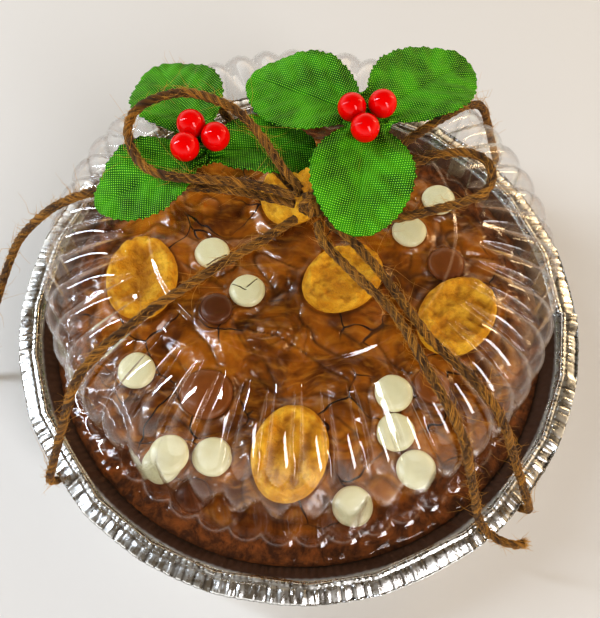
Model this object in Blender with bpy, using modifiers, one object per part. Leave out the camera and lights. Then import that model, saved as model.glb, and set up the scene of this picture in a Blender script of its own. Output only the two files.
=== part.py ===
"""Round chocolate brownie in a crimped foil pan, under a fluted clear lid, tied with twine and holly.

Metres, +Z up. The origin is at the middle of the pan's foot, on the table.
Seen from the front, -Y is near and +X is to the right.
"""

import math

import bmesh
import bpy
from mathutils import Matrix, Vector
from mathutils.bvhtree import BVHTree

GAP = 0.0003                # room left between pieces that touch

# Foil pan: one sheet, as (radius, height) of the sheet's middle from the centre out to the folded rim
FOIL = 0.0007
PAN_STEPS = 60
FOOT_IN, FOOT_OUT = 0.0800, 0.0842
PANEL_Z = 0.0046
DIMPLE_IN, DIMPLE_OUT, DIMPLE_Z = 0.0095, 0.0210, 0.0085
RIM_R = 0.1142
RIM_INNER_R = 0.1066
PAN_SHEET = [
    (0.0, DIMPLE_Z), (DIMPLE_IN, DIMPLE_Z), (DIMPLE_OUT, PANEL_Z), (0.0755, PANEL_Z),
    (FOOT_IN, FOIL / 2), (FOOT_OUT, FOIL / 2),
    (0.1036, 0.0336), (0.1058, 0.0352), (0.1131, 0.0352), (RIM_R, 0.0368), (0.1132, 0.0386),
    (RIM_INNER_R, 0.0382),
]

# The twine lifts the foot where it passes under
TWINE_DIRECTIONS = (-141.0, 41.0, -43.0, 126.0)
FOOT_LIFT = 0.0040
LIFT_FLAT, LIFT_END = 6.0, 12.0

# Brownie
CAKE_STEPS = 48
CAKE_BASE_Z, CAKE_BASE_R = 0.0054, 0.0836
CAKE_EDGE_Z, CAKE_EDGE_R = 0.0322, 0.1012
CAKE_TOP_Z = 0.0362
CAKE_RINGS = 8

# Clear lid
LID_SHEET = 0.0007
FLUTES = 48
FLUTE_DEPTH = 0.0024
LID_TOP_Z = 0.1050
RING_R, RING_RISE = 0.0500, 0.0008
FLUTE_START_R = 0.0580
SHOULDER_CENTRE = (0.0640, 0.0770)
SHOULDER_R = 0.0270
LID_FOOT_R, LID_FLANGE_R, LID_FLANGE_Z = 0.0938, 0.1123, 0.0368

# Toppings: x, y of each middle
WHITE_R, WHITE_H = 0.0076, 0.0040
WHITE_DISCS = [
    (-0.0380, 0.0238), (-0.0222, 0.0066), (-0.0642, -0.0297), (-0.0500, -0.0664), (-0.0470, -0.0638),
    (-0.0315, -0.0635), (0.0210, -0.0802), (0.0373, -0.0370), (0.0378, -0.0523), (0.0450, -0.0660),
    (0.0608, 0.0547), (0.0467, 0.0367),
]
BROWN_H = 0.0036
BROWN_DISCS = [
    (-0.0345, -0.0025, 0.0070), (-0.0359, -0.0388, 0.0105), (0.0617, 0.0213, 0.0080),
    (-0.0375, -0.0775, 0.0065), (0.0525, -0.0330, 0.0075),
]
OVAL_LONG, OVAL_WIDE, OVAL_H = 0.0390, 0.0300, 0.0085
OVALS = [
    (-0.0661, 0.0101, 95.0, 1.00), (0.0176, 0.0124, 35.0, 0.96), (0.0642, -0.0033, 50.0, 1.00),
    (-0.0024, -0.0618, 80.0, 0.98), (-0.0036, 0.0560, 70.0, 0.98),
]

# Holly: base x, y, z, heading, rise of the tip, roll (degrees), length, width, phase of its waves
LEAF_SHEET = 0.0005
LEAVES = {
    "leaf_left_back": (-0.0365, 0.0288, 0.1130, 117.0, -6.0, 0.0, 0.0365, 0.0325, 0.4),
    "leaf_left_front": (-0.0362, 0.0172, 0.1132, 210.0, -4.0, 0.0, 0.0343, 0.0288, 1.3),
    "leaf_left_inner": (-0.0290, 0.0218, 0.1114, 5.0, 0.0, -5.0, 0.0325, 0.0270, 2.2),
    "leaf_right_back": (0.0160, 0.0356, 0.1152, 155.0, 0.0, 0.0, 0.0380, 0.0355, 0.9),
    "leaf_right_side": (0.0250, 0.0370, 0.1150, 40.0, -4.0, 0.0, 0.0425, 0.0345, 1.9),
    "leaf_right_front": (0.0203, 0.0275, 0.1158, 264.0, 1.0, -5.0, 0.0385, 0.0340, 0.1),
}
LEAF_STATIONS, LEAF_CELLS = 9, 4
BERRY_R = 0.0047
BERRIES = [
    (-0.0367, 0.0255, 0.1195), (-0.0378, 0.0160, 0.1198), (-0.0285, 0.0208, 0.1192),
    (0.0152, 0.0322, 0.1216), (0.0252, 0.0340, 0.1216), (0.0193, 0.0236, 0.1220),
]

# Twine
TWINE_R = 0.0016
KNOT = (0.0034, 0.0018, 0.1104)
KNOT_R, KNOT_H = 0.0055, 0.0077
WRAP_Z = LID_TOP_Z + RING_RISE + LID_SHEET / 2 + GAP + TWINE_R
# Where each strand leaves the knot: heading in degrees and height
EXITS = {
    "loop_left_out": (133.0, 0.1122), "loop_left_back": (166.0, 0.1124),
    "loop_right_out": (-16.0, 0.1102), "loop_right_back": (22.0, 0.1108),
    "tail_left": (170.0, 0.1089), "tail_right": (-75.0, 0.1090),
    -141.0: (216.0, WRAP_Z), 41.0: (44.0, WRAP_Z), -43.0: (-44.0, WRAP_Z), 126.0: (130.0, WRAP_Z),
}
LOOP_LEFT = [
    (-0.0070, 0.0120, 0.1160), (-0.0110, 0.0175, 0.1180), (-0.0160, 0.0240, 0.1198),
    (-0.0227, 0.0302, 0.1213), (-0.0290, 0.0333, 0.1220), (-0.0355, 0.0357, 0.1220),
    (-0.0419, 0.0364, 0.1215), (-0.0480, 0.0352, 0.1205), (-0.0530, 0.0330, 0.1195),
    (-0.0563, 0.0293, 0.1185), (-0.0573, 0.0240, 0.1180), (-0.0561, 0.0190, 0.1178),
    (-0.0536, 0.0134, 0.1178), (-0.0498, 0.0092, 0.1178), (-0.0448, 0.0067, 0.1178),
    (-0.0380, 0.0057, 0.1175), (-0.0300, 0.0058, 0.1168), (-0.0210, 0.0062, 0.1154),
    (-0.0110, 0.0054, 0.1136),
]
LOOP_RIGHT = [
    (0.0150, -0.0014, 0.1094), (0.0248, -0.0028, 0.1092), (0.0315, -0.0018, 0.1096),
    (0.0382, -0.0004, 0.1102), (0.0449, 0.0014, 0.1110), (0.0516, 0.0032, 0.1118),
    (0.0571, 0.0057, 0.1123), (0.0605, 0.0099, 0.1126), (0.0613, 0.0144, 0.1126),
    (0.0605, 0.0185, 0.1122), (0.0572, 0.0218, 0.1118), (0.0524, 0.0233, 0.1112),
    (0.0454, 0.0226, 0.1105), (0.0361, 0.0192, 0.1098), (0.0252, 0.0130, 0.1098),
    (0.0160, 0.0070, 0.1104),
]
TAIL_LEFT = [
    (-0.0110, 0.0052, 0.1085), (-0.0223, 0.0078, 0.1082), (-0.0338, 0.0088, 0.1081),
    (-0.0436, 0.0088, 0.1080), (-0.0534, 0.0081, 0.1079), (-0.0616, 0.0076, 0.1074),
    (-0.0675, 0.0075, 0.1063), (-0.0720, 0.0076, 0.1045), (-0.0776, 0.0073, 0.1018),
    (-0.0861, 0.0070, 0.0958), (-0.0953, 0.0062, 0.0868), (-0.1031, 0.0050, 0.0775),
    (-0.1095, 0.0020, 0.0675), (-0.1171, -0.0044, 0.0540), (-0.1245, -0.0110, 0.0395),
    (-0.1305, -0.0150, 0.0250), (-0.1345, -0.0180, 0.0120), (-0.1385, -0.0205, 0.0045),
    (-0.1440, -0.0230, 0.0022), (-0.1530, -0.0250, 0.0019),
]
TAIL_RIGHT = [
    (0.0070, -0.0110, 0.1083), (0.0175, -0.0228, 0.1081), (0.0266, -0.0325, 0.1081),
    (0.0312, -0.0395, 0.1081), (0.0356, -0.0484, 0.1078), (0.0398, -0.0562, 0.1064),
    (0.0448, -0.0636, 0.1024), (0.0496, -0.0700, 0.0952), (0.0526, -0.0745, 0.0862),
    (0.0564, -0.0787, 0.0740), (0.0592, -0.0818, 0.0650), (0.0622, -0.0850, 0.0540),
    (0.0668, -0.0883, 0.0450), (0.0721, -0.0912, 0.0419), (0.0771, -0.0926, 0.0414),
    (0.0811, -0.0922, 0.0408),
]
# Plan of each taut strand from the knot to the lid's shoulder, as (x, y)
STRAND_PLANS = {
    -141.0: [(-0.0130, -0.0110), (-0.0270, -0.0212)],
    41.0: [(0.0200, 0.0165), (0.0330, 0.0282)],
    -43.0: [(0.0165, -0.0105), (0.0245, -0.0205), (0.0310, -0.0310), (0.0385, -0.0426)],
    126.0: [(-0.0070, 0.0142), (-0.0190, 0.0275)],
}


def parts_collection():
    """Empty the scene and make the object's collection."""
    for obj in list(bpy.data.objects):
        bpy.data.objects.remove(obj)
    collection = bpy.data.collections.new("brownie_gift_pan")
    bpy.context.scene.collection.children.link(collection)
    return collection


def finish_of(name, colour, roughness, metallic=0.0, alpha=1.0):
    """Material with one Principled BSDF."""
    material = bpy.data.materials.new(name)
    material.use_nodes = True
    shader = material.node_tree.nodes["Principled BSDF"]
    shader.inputs["Base Color"].default_value = (*colour, 1.0)
    shader.inputs["Roughness"].default_value = roughness
    shader.inputs["Metallic"].default_value = metallic
    shader.inputs["Alpha"].default_value = alpha
    return material


def place(name, data, colour):
    """Object for mesh or curve data, in the parts collection, with its own copy of a finish."""
    obj = bpy.data.objects.new(name, data)
    PARTS.objects.link(obj)
    data.materials.append(finish_of(name, *colour))
    return obj


def evaluated_mesh(obj):
    """Mesh of an object with its modifiers applied."""
    depsgraph = bpy.context.evaluated_depsgraph_get()
    depsgraph.update()
    return bpy.data.meshes.new_from_object(obj.evaluated_get(depsgraph))


def turned(name, profile, steps, colour, reshape=None):
    """Surface turned about Z from (radius, height) points that run down its outer side."""
    mesh = bpy.data.meshes.new(name)
    edges = [(i, i + 1) for i in range(len(profile) - 1)]
    mesh.from_pydata([(radius, 0.0, height) for radius, height in profile], edges, [])
    obj = place(name, mesh, colour)
    screw = obj.modifiers.new("Turn", "SCREW")
    screw.steps = steps
    screw.render_steps = steps
    screw.use_merge_vertices = True
    screw.merge_threshold = 0.00001
    if reshape:
        mesh = evaluated_mesh(obj)
        for vertex in mesh.vertices:
            vertex.co = reshape(vertex.co)
        obj.modifiers.clear()
        obj.data = mesh
    return obj


def thicken(obj, thickness):
    """Give an open surface the thickness of its sheet, half on each side."""
    solidify = obj.modifiers.new("Sheet", "SOLIDIFY")
    solidify.thickness = thickness
    solidify.offset = 0.0
    solidify.use_even_offset = True


def polar(point):
    """Radius and direction in degrees of a point in plan."""
    return math.hypot(point.x, point.y), math.degrees(math.atan2(point.y, point.x))


def turn_between(a, b):
    """Smallest angle in degrees between two directions."""
    return abs((a - b + 180.0) % 360.0 - 180.0)


def lift_foot(point):
    """Raise the foot ring where a strand of twine runs under it."""
    radius, direction = polar(point)
    off = min(turn_between(direction, strand) for strand in TWINE_DIRECTIONS)
    lift = FOOT_LIFT * min(1.0, max(0.0, (LIFT_END - off) / (LIFT_END - LIFT_FLAT)))
    on_foot = FOOT_IN - 0.001 < radius < FOOT_OUT + 0.001 and point.z < 0.002
    return Vector((point.x, point.y, point.z + lift if on_foot else point.z))


def make_pan():
    """Foil pan with a foot ring, a flared wall and a rim folded over the lid's flange."""
    pan = turned("foil_pan", list(reversed(PAN_SHEET)), PAN_STEPS, ((0.80, 0.79, 0.77), 0.25, 1.0), lift_foot)
    thicken(pan, FOIL)
    return pan


def cake_height(radius, direction):
    """Height of the brownie's top: low swells in the icing that fall away at the edge."""
    reach = radius / CAKE_EDGE_R
    swell = 0.0011 * math.sin(3.0 * direction + 0.6 + 9.0 * reach) * math.sin(math.pi * reach)
    swell += 0.0008 * math.sin(5.0 * direction - 14.0 * reach) * reach
    return CAKE_TOP_Z + swell * (1.0 - reach ** 4) - (CAKE_TOP_Z - CAKE_EDGE_Z) * reach ** 6


def swell_cake(point):
    """Put the swells on the brownie's top and leave its wall and base."""
    radius = math.hypot(point.x, point.y)
    if point.z < CAKE_EDGE_Z + 0.001:
        return point
    return Vector((point.x, point.y, cake_height(radius, math.atan2(point.y, point.x))))


def make_cake():
    """Brownie that fills the pan up to just under the rim."""
    top = [(CAKE_EDGE_R * ring / CAKE_RINGS, CAKE_TOP_Z) for ring in range(CAKE_RINGS)]
    dimple = CAKE_BASE_Z + DIMPLE_Z - PANEL_Z + GAP
    base = [(CAKE_EDGE_R, CAKE_EDGE_Z), (CAKE_BASE_R, CAKE_BASE_Z), (DIMPLE_OUT, CAKE_BASE_Z)]
    base += [(DIMPLE_IN, dimple), (0.0, dimple)]
    return turned("brownie", top + base, CAKE_STEPS, ((0.085, 0.036, 0.014), 0.30), swell_cake)


def lid_profile():
    """Lid sheet from the middle of its top, over the shoulder, down to the flange."""
    centre_r, centre_z = SHOULDER_CENTRE
    points = [(0.0, LID_TOP_Z + RING_RISE), (RING_R - 0.001, LID_TOP_Z + RING_RISE)]
    points += [(RING_R + 0.001, LID_TOP_Z), (FLUTE_START_R, LID_TOP_Z)]
    for angle in (75.0, 50.0, 27.0, 5.0):
        turn = math.radians(angle)
        points.append((centre_r + SHOULDER_R * math.cos(turn), centre_z + SHOULDER_R * math.sin(turn)))
    points += [(LID_FOOT_R, LID_FLANGE_Z + 0.003), (LID_FOOT_R + 0.0012, LID_FLANGE_Z)]
    points.append((LID_FLANGE_R, LID_FLANGE_Z))
    return points


def flute_lid(point):
    """Draw the valleys between the flutes inwards on the shoulder and the side."""
    radius, direction = polar(point)
    if radius < FLUTE_START_R + 0.001 or point.z < LID_FLANGE_Z + 0.004:
        return point
    turn = math.radians(direction) * FLUTES / 2.0
    valley = 1.0 - abs(math.sin(turn))
    centre_r, centre_z = SHOULDER_CENTRE
    inwards = Vector((radius - centre_r, max(0.0, point.z - centre_z))).normalized() * FLUTE_DEPTH * valley
    scale = (radius - inwards.x) / radius
    return Vector((point.x * scale, point.y * scale, point.z - inwards.y))


def make_lid():
    """Clear lid: a flat top with an embossed ring, and flutes over the shoulder and side."""
    lid = turned("clear_lid", lid_profile(), FLUTES * 2, ((0.95, 0.96, 0.97), 0.05, 0.0, 0.25), flute_lid)
    thicken(lid, LID_SHEET)
    return lid


def ground_under(x, y, reach_x, reach_y, turn, ground):
    """Highest point of the pieces below an oval footprint."""
    highest = 0.0
    for ring in range(5):
        for step in range(16):
            angle = math.tau * step / 16
            u = reach_x * ring / 4 * math.cos(angle)
            v = reach_y * ring / 4 * math.sin(angle)
            start = Vector((x + u * math.cos(turn) - v * math.sin(turn),
                            y + u * math.sin(turn) + v * math.cos(turn), 0.08))
            for tree in ground:
                hit = tree.ray_cast(start, Vector((0.0, 0.0, -1.0)))[0]
                if hit:
                    highest = max(highest, hit.z)
    return highest


def surface_tree(obj):
    """Search tree of an object's finished surface in world space."""
    bpy.context.view_layer.update()
    mesh = evaluated_mesh(obj)
    mesh.transform(obj.matrix_world)
    tree = BVHTree.FromPolygons([vertex.co for vertex in mesh.vertices], [face.vertices for face in mesh.polygons])
    bpy.data.meshes.remove(mesh)
    return tree


def lay(obj, x, y, reach_x, reach_y, turn, ground):
    """Lay a piece flat on whatever is highest under it."""
    height = ground_under(x, y, reach_x, reach_y, turn, ground) + GAP
    obj.location = (x, y, height)
    obj.rotation_euler = (0.0, 0.0, turn)
    ground.append(surface_tree(obj))


def make_disc(name, radius, height, colour):
    """Chocolate disc, flat below and gently rounded on top."""
    profile = [(0.0, height), (radius * 0.72, height * 0.86), (radius, height * 0.35)]
    profile += [(radius * 0.94, 0.0), (0.0, 0.0)]
    return turned(name, profile, 12, colour)


def make_oval(name, size):
    """Tan oval: a flat foot, a rounded raised rim and a dished top."""
    long_r, wide_r = OVAL_LONG / 2 * size, OVAL_WIDE / 2 * size
    profile = [(0.0, OVAL_H * 0.70), (0.62, OVAL_H * 0.74), (0.80, OVAL_H), (0.94, OVAL_H * 0.86),
               (1.0, OVAL_H * 0.30), (0.92, 0.0), (0.0, 0.0)]

    def stretch(point):
        return Vector((point.x * long_r, point.y * wide_r, point.z))

    return turned(name, profile, 20, ((0.42, 0.20, 0.05), 0.45), stretch)


def make_toppings(cake):
    """All discs and ovals, each laid on the brownie or on the piece below it."""
    ground = [surface_tree(cake)]
    for number, (x, y, turn, size) in enumerate(OVALS, 1):
        oval = make_oval(f"tan_oval_{number}", size)
        lay(oval, x, y, OVAL_LONG / 2 * size, OVAL_WIDE / 2 * size, math.radians(turn), ground)
    for number, (x, y, radius) in enumerate(BROWN_DISCS, 1):
        disc = make_disc(f"brown_disc_{number}", radius, BROWN_H, ((0.14, 0.05, 0.02), 0.3))
        lay(disc, x, y, radius, radius, 0.0, ground)
    for number, (x, y) in enumerate(WHITE_DISCS, 1):
        disc = make_disc(f"white_disc_{number}", WHITE_R, WHITE_H, ((0.80, 0.74, 0.52), 0.35))
        lay(disc, x, y, WHITE_R, WHITE_R, 0.0, ground)


def leaf_half_width(along):
    """Half width of a holly leaf as a share of its width, from its stalk at 0 to its tip at 1."""
    return 0.5 * math.sin(math.pi * (0.06 + 0.89 * along) ** 0.95) ** 0.62


def leaf_point(along, across, length, width, phase):
    """Point of a wavy leaf with a crease down its middle and a lifted edge."""
    y = across * leaf_half_width(along) * width
    crease = 0.0022 * abs(across) ** 1.2 * math.sin(math.pi * min(1.0, along + 0.15))
    wave = 0.0009 * across * math.sin(6.0 * along + phase)
    droop = -0.0022 * along ** 2
    return Vector((length * along, y, crease + wave + droop))


def make_leaf(name, x, y, z, heading, rise, roll, length, width, phase):
    """Fabric leaf: an open wavy sheet of triangles with a thickness. Its base is at x, y, z."""
    bm = bmesh.new()
    rows = []
    for station in range(LEAF_STATIONS):
        along = station / (LEAF_STATIONS - 1)
        shares = [2.0 * cell / LEAF_CELLS - 1.0 for cell in range(LEAF_CELLS + 1)]
        rows.append([bm.verts.new(leaf_point(along, across, length, width, phase)) for across in shares])
    for lower, upper in zip(rows, rows[1:]):
        for cell in range(LEAF_CELLS):
            bm.faces.new((lower[cell], upper[cell], upper[cell + 1], lower[cell + 1]))
    bmesh.ops.triangulate(bm, faces=bm.faces)
    mesh = bpy.data.meshes.new(name)
    bm.to_mesh(mesh)
    bm.free()
    leaf = place(name, mesh, ((0.035, 0.26, 0.03), 0.55))
    leaf.matrix_world = (
        Matrix.Translation((x, y, z))
        @ Matrix.Rotation(math.radians(heading), 4, "Z")
        @ Matrix.Rotation(math.radians(-rise), 4, "Y")
        @ Matrix.Rotation(math.radians(roll), 4, "X")
    )
    thicken(leaf, LEAF_SHEET)
    return leaf


def make_berry(name, centre):
    """Round berry."""
    mesh = bpy.data.meshes.new(name)
    bm = bmesh.new()
    bmesh.ops.create_uvsphere(bm, u_segments=8, v_segments=6, radius=BERRY_R)
    bm.to_mesh(mesh)
    bm.free()
    mesh.shade_smooth()
    berry = place(name, mesh, ((0.62, 0.01, 0.01), 0.12))
    berry.location = centre


def make_knot():
    """Knot of the bow: a low drum with rounded edges."""
    half = KNOT_H / 2
    profile = [(0.0, half), (0.78 * KNOT_R, 0.92 * half), (KNOT_R, 0.55 * half), (KNOT_R, -0.55 * half),
               (0.78 * KNOT_R, -0.92 * half), (0.0, -half)]
    knot = turned("twine_knot", profile, 12, ((0.24, 0.11, 0.03), 0.8))
    knot.location = KNOT


def knot_side(exit_name):
    """Point just off the knot where a strand leaves it."""
    heading, height = EXITS[exit_name]
    out = KNOT_R + 2 * GAP
    turn = math.radians(heading)
    return Vector((KNOT[0] + out * math.cos(turn), KNOT[1] + out * math.sin(turn), height))


def smooth_route(points, spacing):
    """Even points on a smooth curve through a route."""
    nodes = [Vector(point) for point in points]
    ends = [nodes[0] * 2 - nodes[1]] + nodes + [nodes[-1] * 2 - nodes[-2]]
    fine = []
    for a, b, c, d in zip(ends, ends[1:], ends[2:], ends[3:]):
        for step in range(12):
            t = step / 12
            fine.append(0.5 * (2 * b + (c - a) * t + (2 * a - 5 * b + 4 * c - d) * t ** 2
                               + (3 * b - a - 3 * c + d) * t ** 3))
    fine.append(nodes[-1])
    lengths = [0.0]
    for a, b in zip(fine, fine[1:]):
        lengths.append(lengths[-1] + (b - a).length)
    count = max(2, round(lengths[-1] / spacing))
    even = []
    place_at = 0
    for step in range(count + 1):
        wanted = lengths[-1] * step / count
        while place_at < len(fine) - 2 and lengths[place_at + 1] < wanted:
            place_at += 1
        share = (wanted - lengths[place_at]) / (lengths[place_at + 1] - lengths[place_at])
        even.append(fine[place_at].lerp(fine[place_at + 1], share))
    return even


def make_twine(name, points):
    """Round twine along its points, with closed ends."""
    curve = bpy.data.curves.new(name, "CURVE")
    curve.dimensions = "3D"
    curve.bevel_depth = TWINE_R
    curve.bevel_resolution = 2
    curve.use_fill_caps = True
    spline = curve.splines.new("POLY")
    spline.points.add(len(points) - 1)
    for target, point in zip(spline.points, points):
        target.co = (*point, 1.0)
    return place(name, curve, ((0.24, 0.11, 0.03), 0.8))


def strand(direction):
    """Taut strand from the knot over the lid's shoulder and the rim to the pan's foot."""
    clear = TWINE_R + GAP + LID_SHEET / 2
    centre_r, centre_z = SHOULDER_CENTRE
    points = [knot_side(direction)] + [Vector((x, y, WRAP_Z)) for x, y in STRAND_PLANS[direction]]
    side = [(FLUTE_START_R - 0.001, WRAP_Z - 0.0002)]
    for angle in (68.0, 46.0, 26.0):
        shoulder = math.radians(angle)
        reach = SHOULDER_R + clear + 0.0005
        side.append((centre_r + reach * math.cos(shoulder), centre_z + reach * math.sin(shoulder)))
    rim = RIM_R + FOIL / 2 + GAP + TWINE_R + 0.0005
    side += [(rim - 0.0012, 0.0406), (rim, 0.0376), (rim - 0.0004, 0.0345), (rim - 0.0026, 0.0316)]
    side += [(FOOT_OUT + 0.0048, 0.0042), (FOOT_OUT + 0.0006, 0.0020), (FOOT_IN - 0.0030, 0.0020)]
    start_r, start_direction = polar(points[-1])
    swing = (direction - start_direction + 180.0) % 360.0 - 180.0
    for radius, height in side:
        outwards = (radius - start_r) / (rim - start_r)
        share = outwards if height > 0.0380 else 1.0
        turn = math.radians(start_direction + swing * share)
        points.append(Vector((radius * math.cos(turn), radius * math.sin(turn), height)))
    return points


def make_wrap(name, first, second, middle_z):
    """Twine from one side of the knot, round under the pan and back to the knot's other side."""
    down = strand(first)
    up = strand(second)
    middle = (down[-1] + up[-1]) / 2
    towards = (down[-1] - middle).normalized()
    low = down[-1].z
    bottom = [middle + towards * reach for reach in (0.0140, 0.0030, -0.0030, -0.0140)]
    for point, height in zip(bottom, (low, middle_z, middle_z, low)):
        point.z = height
    return make_twine(name, down + bottom + list(reversed(up)))


PARTS = parts_collection()
make_pan()
brownie = make_cake()
make_lid()
make_toppings(brownie)
for leaf_name, leaf_sizes in LEAVES.items():
    make_leaf(leaf_name, *leaf_sizes)
for berry_number, berry_centre in enumerate(BERRIES, 1):
    make_berry(f"berry_{berry_number}", berry_centre)
make_knot()
for cord, route, first, last in (
    ("twine_loop_left", LOOP_LEFT, "loop_left_out", "loop_left_back"),
    ("twine_loop_right", LOOP_RIGHT, "loop_right_out", "loop_right_back"),
    ("twine_tail_left", TAIL_LEFT, "tail_left", None),
    ("twine_tail_right", TAIL_RIGHT, "tail_right", None),
):
    ends = [knot_side(last)] if last else []
    make_twine(cord, smooth_route([knot_side(first)] + route + ends, 5 * TWINE_R))
make_wrap("twine_wrap_1", -141.0, 41.0, 0.0020)
make_wrap("twine_wrap_2", -43.0, 126.0, 0.0058)
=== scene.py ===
"""Looks of a round brownie in a foil pan under a fluted clear lid, tied with twine and holly.

Metres, +Z up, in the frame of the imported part: the origin is at the middle of the pan's foot.
-Y is near, +X is to the right. Each call for noise has a seed of its own, a whole number.
"""

import math

import bmesh
import bpy
import numpy as np
from mathutils import Matrix, Vector


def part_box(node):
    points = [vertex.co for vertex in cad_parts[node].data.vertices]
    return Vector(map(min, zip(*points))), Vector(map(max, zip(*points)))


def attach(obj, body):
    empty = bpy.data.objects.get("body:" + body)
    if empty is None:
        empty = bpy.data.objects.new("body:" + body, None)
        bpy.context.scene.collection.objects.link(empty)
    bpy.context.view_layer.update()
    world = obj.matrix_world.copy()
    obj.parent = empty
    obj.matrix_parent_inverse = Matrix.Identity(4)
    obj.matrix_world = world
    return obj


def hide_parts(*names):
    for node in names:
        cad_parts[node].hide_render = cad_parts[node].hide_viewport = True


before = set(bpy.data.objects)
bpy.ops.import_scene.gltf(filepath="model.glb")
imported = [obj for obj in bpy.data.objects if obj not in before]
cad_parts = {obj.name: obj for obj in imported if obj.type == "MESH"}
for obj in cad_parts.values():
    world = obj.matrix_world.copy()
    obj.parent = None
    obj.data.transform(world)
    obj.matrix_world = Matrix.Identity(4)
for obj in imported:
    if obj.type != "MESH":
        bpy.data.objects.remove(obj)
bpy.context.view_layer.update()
BODY = "root"

# Pan and brownie
RIM_R, RIM_INNER_R = 0.1142, 0.1066
RIM_TOP_Z = 0.0388
RIM_STEPS = 2000
FOOT_IN, FOOT_MIDDLE_R, FOOT_OUT = 0.0800, 0.0821, 0.0842
FOOT_LIFT = 0.0040
PANEL_Z, DIMPLE_Z = 0.0046, 0.0085
DIMPLE_IN, DIMPLE_OUT = 0.0095, 0.0210
WALL_FLUTES, WALL_TOP_R = 216, 0.1040
CAKE_EDGE_R, CAKE_EDGE_Z, CAKE_TOP_Z = 0.1012, 0.0322, 0.0362
CAKE_BASE_R, CAKE_BASE_Z = 0.0836, 0.0054
CAKE_STEPS = 640

# Toppings, from the middle of the top round the edge to the middle of the foot, as
# (share of the way out, share of the height), and cracks as heading, offset from the middle, and
# where they start and end along that heading
DISC_PROFILE = [
    (0.0, 0.96), (0.30, 0.97), (0.52, 0.95), (0.70, 0.90), (0.84, 0.80), (0.94, 0.62), (0.995, 0.38),
    (0.985, 0.16), (0.92, 0.02), (0.50, 0.0), (0.0, 0.0),
]
OVAL_PROFILE = [
    (0.0, 0.72), (0.25, 0.72), (0.50, 0.74), (0.68, 0.86), (0.80, 0.95), (0.90, 0.86), (0.97, 0.62),
    (1.0, 0.35), (0.985, 0.12), (0.92, 0.0), (0.50, 0.0), (0.0, 0.0),
]
CRACKS = {
    1: [(0.55, 0.0046, -0.0050, 0.0045)],
    2: [(-0.42, 0.0006, -0.0066, -0.0002), (0.75, -0.0008, 0.0000, 0.0062)],
}
CRACK_WIDTH, CRACK_DEPTH = 0.00030, 0.0010

# Clear lid
FLUTES = 48
LID_TOP_Z = 0.1050
RING_R, RING_RISE = 0.0500, 0.0008
FLUTE_START_R = 0.0580
SHOULDER_CENTRE, SHOULDER_R = (0.0640, 0.0770), 0.0270
LID_FLANGE_R, LID_FLANGE_Z = 0.1123, 0.0368
LID_SHEET = 0.0005
CHANNEL_L, CHANNEL_HALF, CHANNEL_SAG = 0.0310, 0.105, 0.0024

# Twine, its wraps' clearance over the solids, and its loose fibres
TWINE_R = 0.0016
TWINE_SIDES, TWINE_SPACING = 20, 0.0005
PLY_PITCH = 0.0108          # length in which a ply goes once round
SOLID_HALF, WRAP_CLEAR = 0.00035, 0.0005
HAIR_R, HAIR_JOINTS, HAIR_BEND = 0.00009, 4, 0.55
HAIR_ROOT = 0.85            # share of the twine's radius at which a fibre starts
HAIR_LOW_Z = 0.0001
HAIRS_PER_METRE = 5200.0
KNOT = (0.0034, 0.0018, 0.1104)
KNOT_R = 0.0055
# Turns of the knot: half width, half height, heading, tilt, lift
KNOT_TURNS = [
    (0.0036, 0.0034, 20.0, 0.0, 0.0), (0.0036, 0.0030, -52.0, 12.0, -0.0002),
    (0.0034, 0.0026, 75.0, -14.0, 0.0004),
]
GAP = 0.0003
WRAP_Z = 0.10805
# Where strands leave the knot: heading and height
EXITS = {
    "loop_left_out": (133.0, 0.1122), "loop_left_back": (166.0, 0.1124),
    "loop_right_out": (-16.0, 0.1102), "loop_right_back": (22.0, 0.1108),
    "tail_left": (170.0, 0.1089), "tail_right": (-75.0, 0.1090),
    -141.0: (216.0, WRAP_Z), 41.0: (44.0, WRAP_Z), -43.0: (-44.0, WRAP_Z), 126.0: (130.0, WRAP_Z),
}
LOOP_LEFT = [
    (-0.0070, 0.0120, 0.1160), (-0.0110, 0.0175, 0.1180), (-0.0160, 0.0240, 0.1198),
    (-0.0227, 0.0302, 0.1213), (-0.0290, 0.0333, 0.1220), (-0.0355, 0.0357, 0.1220),
    (-0.0419, 0.0364, 0.1215), (-0.0480, 0.0352, 0.1205), (-0.0530, 0.0330, 0.1195),
    (-0.0563, 0.0293, 0.1185), (-0.0573, 0.0240, 0.1180), (-0.0561, 0.0190, 0.1178),
    (-0.0536, 0.0134, 0.1178), (-0.0498, 0.0092, 0.1178), (-0.0448, 0.0067, 0.1178),
    (-0.0380, 0.0057, 0.1175), (-0.0300, 0.0058, 0.1168), (-0.0210, 0.0062, 0.1154),
    (-0.0110, 0.0054, 0.1136),
]
LOOP_RIGHT = [
    (0.0150, -0.0014, 0.1094), (0.0248, -0.0028, 0.1092), (0.0315, -0.0018, 0.1096),
    (0.0382, -0.0004, 0.1102), (0.0449, 0.0014, 0.1110), (0.0516, 0.0032, 0.1118),
    (0.0571, 0.0057, 0.1123), (0.0605, 0.0099, 0.1126), (0.0613, 0.0144, 0.1126),
    (0.0605, 0.0185, 0.1122), (0.0572, 0.0218, 0.1118), (0.0524, 0.0233, 0.1112),
    (0.0454, 0.0226, 0.1105), (0.0361, 0.0192, 0.1098), (0.0252, 0.0130, 0.1098),
    (0.0160, 0.0070, 0.1104),
]
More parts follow.
